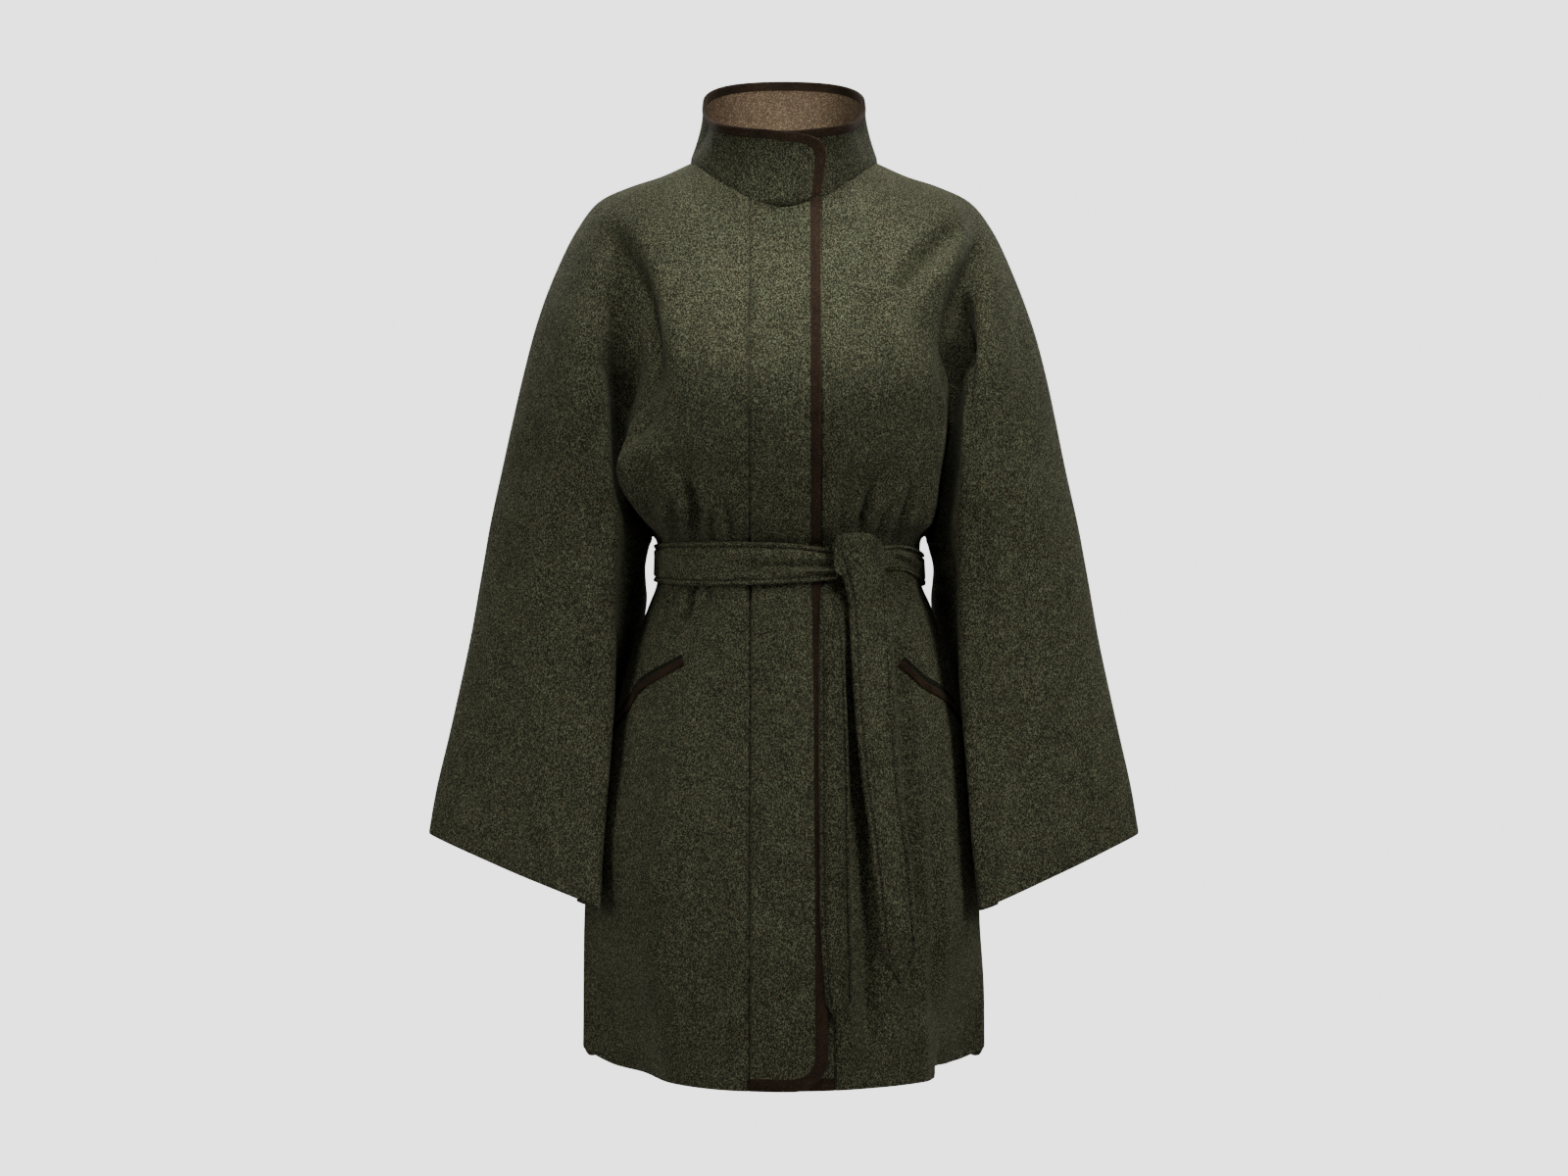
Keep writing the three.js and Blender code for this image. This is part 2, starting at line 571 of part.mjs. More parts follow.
// The back with both sleeve backs, in one piece from overarm seam to overarm seam.
function backPanel() {
  const inner = [0.8, 1.4, 2];
  const across = (list, both) => {
    const left = [...list].reverse().map((u) => [viewerLeft, u]);
    return [...left, ...(both ? [[viewerLeft, 0]] : []), ...list.map((u) => [viewerRight, u])];
  };
  const bodyRow = [...inner, ...bodySteps];
  const fullRow = [...bodyRow, ...sleeveSteps];
  const upper = backLevels.map((v) => across(fullRow, true).map(([side, u], place, all) => {
    const edge = place === 0 || place === all.length - 1 ? 'y' : undefined;
    const apex = v === underarm && u === sleeveShare ? 'y' : undefined;
    return panelPoint('back', side, 'upper', u, v, edge ?? apex);
  }));
  const body = bodyLevels.slice(1).map((v) => across(bodyRow, true).map(([side, u], place, all) => {
    const edge = place === 0 || place === all.length - 1 ? 'y' : undefined;
    return panelPoint('back', side, 'body', u, v, edge);
  }));
  const join = upper[upper.length - 1];
  const wing = sleeveSteps.length;
  const grids = [upper, [join.slice(wing, join.length - wing), ...body]];
  for (const side of [viewerLeft, viewerRight]) {
    const list = [sleeveShare, ...sleeveSteps].map((u) => [side, u]);
    const row = side === viewerLeft ? list.reverse() : list;
    const cuffs = sleeveLevels.slice(1).map((v) => row.map(([, u]) => {
      const edge = u === sleeveShare || u === 10 ? 'y' : undefined;
      return panelPoint('back', side, 'sleeve', u - sleeveShare, v, edge);
    }));
    const top = side === viewerLeft ? join.slice(0, wing + 1) : join.slice(join.length - wing - 1);
    grids.push([top, ...cuffs]);
  }
  return thickSheet(grids, clothWall, false);
}

addPiece('front_right', frontPanel(viewerLeft), loden);
addPiece('front_left', frontPanel(viewerRight), loden);
addPiece('back', backPanel(), loden);

// Point near the centre front: x signed, lift off the cloth's base surface.
function frontPoint(x, v, lift) {
  const side = x < 0 ? viewerLeft : viewerRight;
  const part = v <= underarm ? 'upper' : 'body';
  const u = lineAtX('front', side, part, Math.abs(x), v);
  return clothPoint('front', side, part, u, v, lift);
}

// Level of the lower body at a height.
function levelAt(z) {
  let low = underarm;
  let high = hemRow;
  for (let step = 0; step < 30; step += 1) {
    const middle = (low + high) / 2;
    if (quarters[`front${viewerLeft}`]('body', 0, middle).z > z) low = middle;
    else high = middle;
  }
  return (low + high) / 2;
}

// The wearer's right front laps over the left: lift of one layer and sink of the other, by distance.
const overLift = (x) => placket.lift * ease((x - placket.overSeamX) / -placket.overSeamX);
const underSink = (x) => (
  placket.sink * ease((placket.sinkStartX - x) / (placket.sinkStartX - placket.underEdgeX)));
const hemShare = (v) => ease((v - underarm) / (hemRow - underarm));
const overEdge = (v) => mix(placket.overEdgeTopX, placket.overEdgeHemX, hemShare(v));
const bindingWidth = (v) => mix(binding.width, binding.hemWidth, hemShare(v));
const bandBottom = hemLevel + binding.hemWidth;

// Where a placket's free edge lies at a level, with its round lower corner.
function roundedEdge(edgeX, v, inward) {
  if (v <= underarm) return edgeX;
  const height = quarters[`front${viewerLeft}`]('body', 0, v).z - bandBottom;
  const rest = Math.max(0, binding.cornerRadius - height);
  const inset = binding.cornerRadius - Math.sqrt(Math.max(0, binding.cornerRadius ** 2 - rest ** 2));
  return edgeX + inward * inset;
}

const placketLevels = [
  ...[0, 1, 2, 3, 4, 5, 6, 7, 8, 9, 10, 10.6, 11, 12, 13, 14, 15, 16, 17, 18, 19, 20],
  ...[20.6, 21].filter((v) => v < levelAt(bandBottom + binding.cornerRadius)),
  ...[1, 0.45, 0.15, 0].map((share) => levelAt(bandBottom + binding.cornerRadius * share)),
];

function overPlacket() {
  const columns = [0, 0.25, 0.5, 0.75, 1];
  const rows = placketLevels.map((v) => columns.map((share) => {
    const x = mix(placket.overSeamX + seamGap / 2, roundedEdge(overEdge(v), v, -1), share);
    return { at: frontPoint(x, v, overLift(x)), flat: share === 0 ? 'x' : undefined };
  }));
  return thickSheet([rows], clothWall, true);
}

function underPlacket() {
  const columns = [0, 0.25, 0.5, 0.75, 1];
  const rows = placketLevels.map((v) => columns.map((share) => {
    const x = mix(seamX(viewerRight, v) - seamGap / 2, roundedEdge(placket.underEdgeX, v, 1), share);
    return { at: frontPoint(x, v, -underSink(x)), flat: share === 0 ? 'x' : undefined };
  }));
  return thickSheet([rows], clothWall, false);
}

// Suede bar along a placket's free edge, round the corner and along the hem to the placket seam.
// Path entries: the cloth's edge x and v, the bar's outer edge, the bar's width and the lift of both.
function bindingPath(edgeAt, endX, outward, liftAt) {
  const path = [];
  for (const v of placketLevels.filter((level) => level < levelAt(bandBottom + binding.cornerRadius))) {
    const width = bindingWidth(v);
    path.push({ x: edgeAt(v), outX: edgeAt(v) + outward * width, v, outV: v, width });
  }
  const radius = binding.cornerRadius;
  const centreX = edgeAt(hemRow) - outward * radius;
  const centreZ = bandBottom + radius;
  for (const turn of steps(0, 90, 6)) {
    const angle = radians(turn);
    const reach = radius + binding.hemWidth;
    path.push({
      x: centreX + outward * radius * Math.cos(angle),
      outX: centreX + outward * reach * Math.cos(angle),
      v: levelAt(centreZ - radius * Math.sin(angle)),
      outV: levelAt(centreZ - reach * Math.sin(angle)),
      width: binding.hemWidth,
    });
  }
  for (const x of steps(centreX, endX, 4).slice(1)) {
    path.push({ x, outX: x, v: levelAt(bandBottom), outV: hemRow, width: binding.hemWidth });
  }
  return path.map((entry) => ({ ...entry, lift: liftAt(entry.x), outLift: liftAt(entry.outX) }));
}

// The bar stands proud of the cloth by high and reaches down to low.
function bindingBar(path, low, high, turned) {
  const corner = binding.chamfer;
  const rings = path.map(({ x, v, outX, outV, width, lift, outLift }) => {
    const near = binding.gap / width;
    const section = [[near, low], [1 - corner / width, low], [1, low + corner],
      [1, high - corner], [1 - corner / width, high], [near, high]];
    return section.map(([share, rise]) => (
      frontPoint(mix(x, outX, share), mix(v, outV, share), mix(lift, outLift, share) + rise)));
  });
  return sweptSolid(rings, { turned });
}

addPiece('placket_right', overPlacket(), loden);
addPiece('placket_left', underPlacket(), loden);
const overPath = bindingPath(overEdge, placket.overSeamX + seamGap / 2, 1, overLift);
const underPath = bindingPath(() => placket.underEdgeX, placket.underSeamHemX - seamGap / 2, -1,
  (x) => -underSink(x));
const bindingDepth = clothWall + 0.2;
const underBindingDepth = clothWall + 0.7;
const underBindingProud = 0.3;
addPiece('binding_front_right', bindingBar(overPath, -bindingDepth, binding.proud, false), suede);
addPiece('binding_front_left', bindingBar(underPath, -underBindingDepth, underBindingProud, true), suede);

// Stand collar: a is the turn round the neck in degrees, 0 at the centre front, rising over the viewer's
// left; h runs from the neck seam to the rim.
const turnAtX = (x) => -degrees(Math.asin(x / neck.halfWidth));

function collarPoint(a, h, lift = 0) {
  const base = (turn, rise) => {
    const lean = 1 - (1 - rise) ** collar.flare;
    const near = turn > 180 ? turn - 360 : turn;
    const upright = 1 + collar.frontStraight * lean * ease((60 - Math.abs(near)) / 35);
    const angle = radians(near * upright);
    const inFront = Math.abs(near) < 90;
    const depth = inFront ? mix(neck.front, collar.rimFront, lean) : mix(neck.back, collar.rimBack, lean);
    const seamAngle = radians(near);
    const open = 1 - Math.abs(Math.sin(seamAngle)) ** slopePower;
    const seamZ = (inFront ? -neck.frontDrop : neck.backRise) * open;
    const rimZ = collar.rimMid - collar.rimTilt * Math.cos(angle)
      + collar.rimSide * Math.sin(angle) ** 2 * ease((Math.abs(near) - 60) / 40)
      - collar.endDip * ease((12 - turn) / 24);
    return vec(-mix(neck.halfWidth, collar.rimHalfWidth, lean) * Math.sin(angle),
      -depth * Math.cos(angle), mix(seamZ + collar.standOff, rimZ, rise));
  };
  const point = base(a, h);
  const across = base(a + 0.5, h).sub(base(a - 0.5, h));
  const up = base(a, Math.min(1, h + 0.02)).sub(base(a, Math.max(0, h - 0.02)));
  const normal = up.cross(across).normalize();
  const lap = collar.lift * ease((collar.lapAngle - a) / 12)
    - collar.lift * ease((a - 360 + collar.lapAngle) / 12);
  return point.addScaledVector(normal, lift + lap);
}

const collarHeight = (a) => collarPoint(a, 0).distanceTo(collarPoint(a, 1));
const cornerInset = (s) => {
  const rest = Math.max(0, collar.cornerRadius - s);
  return collar.cornerRadius - Math.sqrt(collar.cornerRadius ** 2 - rest ** 2);
};
const collarEdgeX = placket.overEdgeTopX;
const endColumns = [0, 1.5, 4, 8, collar.cornerRadius].map((s) => ({ a: turnAtX(collarEdgeX - s), s }));

const outerTurns = [8, 16, 25, 35, 46, 57, 68, 79, 90, 101, 112, 124, 137, 150, 165, 180, 195, 210, 223, 236,
  248, 259, 270, 281, 292, 303, 314, 325, 335, 345, 352, 358, 365, collar.underAngle];

function collarLayer(lift, wall, rises) {
  const columns = [...endColumns, ...outerTurns.map((a) => ({ a, s: collar.cornerRadius }))];
  const rows = columns.map(({ a, s }) => rises.map((share) => {
    const height = collarHeight(a);
    const top = 1 - (binding.width + cornerInset(s)) / height;
    return { at: collarPoint(a, top * share, lift) };
  }));
  return thickSheet([rows], wall, false);
}

const collarRises = [0.15, 0.35, 0.65, 1];
const facingStart = 0.04;
const facingLift = -collar.wall - collar.facingGap;
addPiece('collar', collarLayer(0, collar.wall, [0, ...collarRises]), loden);
const facingLayer = collarLayer(facingLift, collar.facingWall, [facingStart, ...collarRises]);
addPiece('collar_facing', facingLayer, facingCloth);

function collarBinding() {
  const corner = 1;
  const inner = binding.gap;
  const outer = binding.width;
  const low = facingLift - collar.facingWall - 0.2;
  const high = 0.8;
  const section = [[inner, low], [outer - corner, low], [outer, low + corner],
    [outer, high - corner], [outer - corner, high], [inner, high]];
  const rings = [];
  for (const a of [...outerTurns].reverse()) {
    const height = collarHeight(a);
    rings.push(section.map(([out, lift]) => collarPoint(a, 1 - (outer - out) / height, lift)));
  }
  const radius = collar.cornerRadius;
  const onEnd = (s, belowTop, lift) => {
    const a = turnAtX(collarEdgeX - s);
    const height = collarHeight(a);
    return collarPoint(a, (height - outer - belowTop) / height, lift);
  };
  for (const turn of steps(90, 180, 8)) {
    const angle = radians(turn);
    rings.push(section.map(([out, lift]) => {
      const reach = radius + out;
      return onEnd(radius + reach * Math.cos(angle), radius - reach * Math.sin(angle), lift);
    }));
  }
  const endRises = [0.45, 0.25, 0.03];
  for (const rise of endRises) {
    rings.push(section.map(([out, lift]) => collarPoint(turnAtX(collarEdgeX + out), rise, lift)));
  }
  return sweptSolid(rings);
}
addPiece('binding_collar', collarBinding(), suede);

// Pocket welts: a suede band along the lower edge with facing cloth above it.
function pocketPiece(side, from, to, crescent) {
  const path = pocket.path[side].map(({ u, z }) => vec(u, z, 0));
  const count = 9;
  const nearby = 0.01;
  const rows = steps(0, path.length - 1, count).map((t, place) => {
    const here = spline(path, t);
    const v = levelAt(here.y);
    const at = (u, level) => clothPoint('front', side, 'body', u, level);
    const origin = at(here.x, v);
    const ahead = spline(path, t + nearby);
    const behind = spline(path, t - nearby);
    const tangent = at(ahead.x, levelAt(ahead.y)).sub(at(behind.x, levelAt(behind.y))).normalize();
    const normal = clothNormal('front', side, 'body', here.x, v);
    const up = tangent.cross(normal).normalize();
    if (up.z < 0) up.negate();
    const alongU = at(here.x + nearby, v).sub(origin).divideScalar(nearby);
    const alongV = at(here.x, v + nearby).sub(origin).divideScalar(nearby);
    const full = crescent ? Math.sin(Math.PI * (0.18 + 0.64 * place / count)) : 1;
    return steps(from, mix(from, to, full), 2).map((away) => {
      const u = here.x + away * up.dot(alongU) / alongU.lengthSq();
      const level = v + away * up.dot(alongV) / alongV.lengthSq();
      return { at: clothPoint('front', side, 'body', u, level, pocket.lift + pocket.thickness) };
    });
  });
  return thickSheet([rows], pocket.thickness, side === viewerRight);
}

for (const [side, wearer] of [[viewerLeft, 'right'], [viewerRight, 'left']]) {
  const bandTop = pocket.bandWidth;
  addPiece(`pocket_band_${wearer}`, pocketPiece(side, 0, bandTop, false), suede);
  const facing = pocketPiece(side, bandTop + seamGap, bandTop + pocket.facingWidth, true);
  addPiece(`pocket_facing_${wearer}`, facing, loden);
}

// Belt: a ring round the waist, its knot, and two tails that hang from it.
// It passes over the lapped fronts and their binding, which lie between these distances from the centre.
const overLap = (x) => belt.lap * ease((x + 44) / 28) * ease((60 - x) / 16);

function waistPoint(turn, z, lift) {
  const angle = radians(turn);
  const value = (column) => between(bodyRings, 'z', z, column);
  const far = value(Math.abs(turn) < 90 ? 'frontY' : 'backY');
  const sideX = value('sideX') + (turn > 0 ? value('right') : 0);
  const inFront = Math.abs(turn) < 90 ? overLap(sideX * Math.sin(angle)) : 0;
  const out = lift + inFront;
  return vec((sideX + out) * Math.sin(angle),
    mix(value('sideY'), far + Math.sign(far) * out, Math.abs(Math.cos(angle))), z);
}

const bandLift = belt.clearance + belt.thickness;

function beltBand() {
  const rings = steps(-180, 180, belt.segments).slice(0, -1).map((turn) => {
    const top = between(beltEdges, 'turn', turn, 'top');
    const bottom = between(beltEdges, 'turn', turn, 'bottom');
    return [[0.02, bandLift], [0.5, bandLift + belt.crown], [0.98, bandLift],
      [1, belt.clearance], [0.5, belt.clearance], [0, belt.clearance]]
      .map(([share, lift]) => waistPoint(turn, mix(top, bottom, share), lift));
  });
  return sweptSolid(rings, { loop: true });
}
addPiece('belt_band', beltBand(), loden);

// The belt's outermost front and its lower edge at a distance to the wearer's left of the centre.
function turnOnBand(x) {
  let low = 0;
  let high = 89;
  for (let step = 0; step < 24; step += 1) {
    const middle = (low + high) / 2;
    if (waistPoint(middle, belt.middle, bandLift).x < x) low = middle;
    else high = middle;
  }
  return (low + high) / 2;
}
const bandFront = (x) => Math.min(...[belt.middle + 16, belt.middle, belt.middle - 18].map((z) => (
  waistPoint(turnOnBand(x), z, bandLift + belt.crown).y)));
const bandLower = (x) => between(beltEdges, 'turn', turnOnBand(x), 'bottom');

// How far forward a tail lies at a point of the skirt's front.
function skirtFront(x, z) {
  const v = levelAt(z);
  const cloth = quarters[`front${viewerRight}`]('body', lineAtX('front', viewerRight, 'body', x, v), v).y;
  return cloth - belt.lap * ease((68 - x) / 16) - belt.clearance - belt.thickness;
}

const tailShares = [0, 0.25, 0.5, 0.75, 1];
const hangRow = (left, right, z, front) => tailShares.map((share) => {
  const x = mix(left, right, share);
  return { at: vec(x, front(x), z) };
});

// A tail's pointed end, from its last level down to the tip.
function tipRows(last, tipX, tipZ, front) {
  const halfZ = (last.z + tipZ) / 2;
  const half = hangRow(mix(last.left, tipX, 0.5), mix(last.right, tipX, 0.5), halfZ, (x) => front(x, halfZ));
  const tip = vec(tipX, front(tipX, tipZ), tipZ);
  return [half, tailShares.map(() => ({ at: tip }))];
}

// The upper tail passes behind the knot, over the belt's top edge and down in front: z, share of the way out.
const tailWrap = table('z depth', [[-420, 0], [-392, 0], [-383, 0.12], [-379.5, 0.5], [-382, 0.85]]);
const beltFoot = -430;

function overTail() {
  const rear = (x) => bandFront(x) - knot.gap;
  const face = (x) => bandFront(x) - knot.depth - 2 * belt.thickness * belt.slant - knot.gap;
  const [first] = tailOver;
  const last = tailOver[tailOver.length - 1];
  const wrap = tailWrap.map(({ z, depth }) => (
    hangRow(first.left, first.right, z, (x) => mix(rear(x), face(x), depth))));
  const hang = tailOver.map((row) => hangRow(row.left, row.right, row.z, (x) => {
    const fall = ease((beltFoot - row.z) / 60);
    return fall === 0 ? face(x) : mix(face(x), skirtFront(x, row.z) - row.off, fall);
  }));
  const tip = tipRows(last, tailTip.overX, tailTip.overZ, (x, z) => skirtFront(x, z) - last.off);
  return thickSheet([[...wrap, ...hang, ...tip]], belt.thickness, true);
}

function underTail() {
  const [first] = tailUnder;
  const last = tailUnder[tailUnder.length - 1];
  const top = hangRow(first.left, first.right, 0, (x) => bandFront(x) + seamGap);
  for (const { at } of top) at.z = bandLower(at.x) - 2 * seamGap;
  const hang = tailUnder.map((row) => hangRow(row.left, row.right, row.z, (x) => skirtFront(x, row.z)));
  const tip = tipRows(last, tailTip.underX, tailTip.underZ, skirtFront);
  return thickSheet([[top, ...hang, ...tip]], belt.thickness, true);
}

function beltKnot() {
  const rounded = [[-1, -0.6], [-0.6, -1], [0.6, -1], [1, -0.6], [1, 0.6], [0.6, 1], [-0.6, 1], [-1, 0.6]];
  const halfDepth = (knot.depth - 2 * knot.gap) / 2;
  const rings = knot.places.map((x, place, all) => {
    const end = place === 0 || place === all.length - 1 ? 0.6 : 1;
    const middleY = bandFront(x) - 2 * knot.gap - belt.thickness * belt.slant - halfDepth;
    return rounded.map(([rise, out]) => (
      vec(x, middleY + out * halfDepth * end, knot.middle + rise * knot.halfHeight * end)));
  });
  return sweptSolid(rings, { turned: true });
}
addPiece('belt_knot', beltKnot(), loden);
addPiece('belt_tail_over', overTail(), loden);
addPiece('belt_tail_under', underTail(), loden);

export default cape;
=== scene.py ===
# Loden cape-coat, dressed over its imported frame.
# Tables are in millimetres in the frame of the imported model; meshes are made in metres.
import math

import bpy
import numpy as np
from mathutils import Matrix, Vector


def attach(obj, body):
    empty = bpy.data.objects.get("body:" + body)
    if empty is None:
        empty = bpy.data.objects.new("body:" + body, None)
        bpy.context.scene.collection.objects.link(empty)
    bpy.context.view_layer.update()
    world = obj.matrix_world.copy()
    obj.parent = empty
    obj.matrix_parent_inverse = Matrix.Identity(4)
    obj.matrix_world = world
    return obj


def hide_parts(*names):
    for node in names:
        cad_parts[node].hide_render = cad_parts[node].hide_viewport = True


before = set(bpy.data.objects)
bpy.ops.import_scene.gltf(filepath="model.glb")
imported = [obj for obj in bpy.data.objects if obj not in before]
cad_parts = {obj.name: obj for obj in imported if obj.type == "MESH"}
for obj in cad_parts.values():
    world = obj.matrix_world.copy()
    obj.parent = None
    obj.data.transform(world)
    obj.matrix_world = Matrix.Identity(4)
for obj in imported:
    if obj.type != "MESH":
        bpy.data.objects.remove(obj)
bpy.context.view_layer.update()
print("frame loaded,", len(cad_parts), "nodes")

viewerLeft = -1
viewerRight = 1
metre = 0.001

# sizes shared by the pieces
cloth = {"wall": 2.0, "seamGap": 0.06, "seamSink": 3.1, "sideSink": 0.5, "hemRoll": 0.55, "seamFall": 0.62,
         "sideFall": 0.3, "pitReach": 0.2}
neck = {"halfWidth": 96, "front": 84, "back": 66, "frontDrop": 57, "backRise": 19}
collar = {"rimHalfWidth": 82, "rimFront": 75, "rimBack": 67, "rimMid": 58.8, "rimTilt": 39, "rimSide": 7.5,
          "flare": 2.2, "wall": 1.6, "facingWall": 1.0, "facingGap": 0.3, "underAngle": 371, "lift": 4.2,
          "lapAngle": 15, "cornerRadius": 16, "standOff": 0.75, "frontStraight": 0.2, "endDip": 5,
          "frontLean": 15, "frontBulge": 4, "sideBulge": 1.6, "seamLow": 0.025, "seamSink": 1.3,
          "bindingProud": 0.8, "stitchLift": 0.95}
binding = {"width": 9.5, "hemWidth": 12, "gap": -0.4, "cornerRadius": 22, "proud": 1.0, "depth": 2.2,
           "underDepth": 2.7, "underProud": 0.3, "roll": 1.1, "bulge": 0.22,
           "stitchProud": 0.12}
placket = {"overSeamX": -33.6, "overEdgeTopX": 26.5, "overEdgeHemX": 30.5, "underSeamTopX": 35,
           "underSeamHemX": 49, "underEdgeX": -20, "sinkStartX": 12, "lift": 3, "sink": 3.6}
hemLevel = -916


def tableOf(columns, rows):
    names = columns.split()
    return [dict(zip(names, row)) for row in rows]


# Front levels from the neckline to the underarm, x and y of the cloth at each line: a overarm, b sleeve
# front, c sleeve's inner edge, h web, d underarm recess, g bodice side, e bodice edge, f breast, mid
# centre front. eR, dR and cR: how much further out the wearer's left is.
frontUpper = tableOf("aX aZ midY midZ fX fY eX eY gX gY dX dY hX hY cX cY bX bY eR dR cR dip", [
    [96, 0, -84, -57, 40, -76.4, 71.5, -56, 82.5, -43, 89, -31.5, 91.3, -26, 93, -20.8, 95.5, -8.6,
     0, 0, 0, 0],
    [125, -13, -88, -72, 52, -83, 92, -63, 106, -49, 117, -33, 119, -28, 121.5, -21, 124.3, -9.5, 0, 0, 0, 0],
    [158, -23.5, -94, -95, 62, -90, 110, -72, 129, -57, 145, -38, 148.5, -32, 152, -24, 156.5, -10.5,
     0, 0, 0, 0],
    [190, -39, -101, -122, 68, -98, 122, -83, 146, -67, 166, -47, 172, -40, 178, -31, 186.5, -14, 0, 4, 0, 0],
    [213, -68, -109, -152, 72, -107, 128, -94, 152, -76, 172, -58, 181, -53, 190, -45, 205, -22, 0, 10, 0, 0],
    [234, -112, -117, -185, 74, -116, 126, -105, 150, -84, 166, -68, 177, -66, 190, -62, 218, -36,
     2, 14, 2, 0],
    [252, -162, -124, -215, 74, -124, 124, -111, 144, -86, 158, -64, 171, -70, 188, -74, 226, -50,
     6, 14, 3, 0],
    [265.5, -212, -127, -245, 74, -127, 119, -108, 142, -76, 162, -40, 172, -58, 182, -80, 232, -58,
     26, 8, 3, 0],
    [277, -262, -124, -280, 76, -120, 145, -90, 157, -50, 165, -14, 172, -46, 176, -80, 238, -62,
     10, 2, 3, 0],
    [287.5, -312, -117, -322, 88, -107, 164, -75, 159, -34, 161, -6, 169, -36, 173.5, -78, 242, -64,
     -11, -1, 4, 0],
    [300, -372, -107, -366, 78, -96, 136, -50, 131, -20, 134, 8, 155, -26, 170, -72, 246, -66,
     10, 10, 5, -11],
])
# Back levels, by the same lines.
backUpper = tableOf("aX aZ midY midZ fX fY eX eY gX gY dX dY hX hY cX cY bX bY eR dR cR dip", [
    [96, 0, 66, 19, 40, 60, 71.5, 44, 82.5, 33.7, 89, 24.7, 91.3, 20.4, 93, 16.4, 95.5, 6.7, 0, 0, 0, 0],
    [125, -13, 78, 2, 52, 72, 92, 54, 106, 41, 117, 28, 119, 24, 121.5, 18, 124.3, 8.5, 0, 0, 0, 0],
    [158, -23.5, 90, -20, 62, 85, 110, 67, 129, 52, 145, 35, 148.5, 30, 152, 23, 156.5, 10.5, 0, 0, 0, 0],
    [190, -39, 99, -48, 68, 95, 122, 79, 146, 64, 166, 46, 172, 40, 178, 31, 186.5, 14, 0, 0, 0, 0],
    [213, -68, 106, -86, 72, 102, 128, 88, 152, 73, 172, 57, 181, 50, 190, 42, 205, 22, 0, 0, 0, 0],
    [234, -112, 109, -130, 74, 105, 126, 92, 148, 79, 166, 67, 178, 62, 192, 55, 218, 34, 0, 0, 0, 0],
    [252, -162, 110, -176, 74, 106, 126, 92, 146, 77, 161, 64, 174, 64, 190, 64, 226, 46, 0, 0, 0, 0],
    [265.5, -212, 109, -222, 74, 105, 126, 90, 143, 72, 156, 56, 170, 61, 188, 69, 232, 54, 0, 0, 0, 0],
    [277, -262, 105, -270, 74, 101, 127, 84, 141, 64, 151, 45, 164, 54, 186, 71, 238, 59, 0, 1, 1, 0],
    [287.5, -312, 100, -318, 76, 95, 128, 73, 139, 50, 144, 30, 160, 44, 184, 70, 242, 63, 1, 3, 2, 0],
    [300, -372, 92, -366, 76, 84, 124, 54, 132, 30, 134, 8, 151, 27, 182, 66, 246, 64, 8, 10, 5, -11],
])
# Body rings below the underarm.
bodyRings = tableOf("z sideX sideY frontY backY right", [
    [-384, 130, 8, -98, 88, 10],
    [-402, 128.5, 6, -97, 88, 11],
    [-428, 130, 6, -99, 91, 11],
    [-450, 138.5, 4, -106, 97, 12],
    [-480, 149.5, 2, -113, 104, 10],
    [-530, 164, 0, -122, 113, 7],
    [-580, 176, 0, -129, 122, 9],
    [-650, 191, 0, -137, 131, 2],
    [-700, 199, 0, -141, 136, -2],
    [-770, 204, 2, -146, 141, -5],
    [-845, 205.5, 6, -150, 146, -1],
    [-916, 206, 10, -153, 149, 0],
])
# The sleeves below the underarm; in is the seam at the inner fold.
sleeveFront = tableOf("inX inY inZ hX hY cX cY cZ bX bY aX aZ inR cR zR", [
    [138, 12, -390, 161, -30, 170, -70, -398, 247, -66, 305, -400, 9, 5, 0],
    [142.5, 20, -410, 166, -26, 170, -69, -428, 249, -66, 311, -432, 10, 5, 0],
    [142, 34, -450, 169, -16, 170, -69, -478, 253, -66, 320, -480, 9, 6, 0],
    [161, 46, -530, 175, -12, 170, -70, -540, 258, -65, 331, -532, 7, 8, 0],
    [184, 54, -612, 191, -16, 174, -74, -612, 265, -63, 342, -585, 6, 8, 1],
    [197, 59, -686, 204, -18, 179, -78, -680, 272, -60, 353.5, -636, 4, 8, 1.5],
    [204, 60, -751, 208, -18, 182, -80, -748, 277, -58, 362, -682, 3, 12, 2.5],
])
sleeveBack = tableOf("inX inY inZ hX hY cX cY cZ bX bY aX aZ inR cR zR", [
    [138, 12, -390, 158, 38, 186, 66, -398, 247, 64, 305, -400, 9, 5, 0],
    [142.5, 20, -410, 159, 44, 188, 66, -428, 250, 62, 311, -432, 10, 5, 0],
    [142, 34, -450, 160, 55, 192, 66, -478, 254, 61, 320, -480, 9, 6, 0],
    [161, 46, -530, 174, 62, 200, 68, -540, 260, 58, 331, -532, 7, 7, 0],
    [184, 54, -612, 195, 67, 216, 70, -612, 268, 56, 342, -585, 6, 6, 1],
    [197, 59, -686, 208, 71, 228, 72, -680, 276, 54, 353.5, -636, 4, 4, 1.5],
    [204, 60, -751, 214, 72, 234, 73, -748, 281, 52, 362, -682, 3, 3, 2.5],
])
# Belt edges round the waist: turn in degrees from the centre front towards the wearer's left.
beltEdges = tableOf("turn top bottom", [
    [-180, -387, -431],
    [-90, -387, -426],
    [-35, -386, -430],
    [0, -388, -428],
    [24, -394, -423],
    [52, -389, -414],
    [90, -396, -430],
    [180, -387, -431],
])
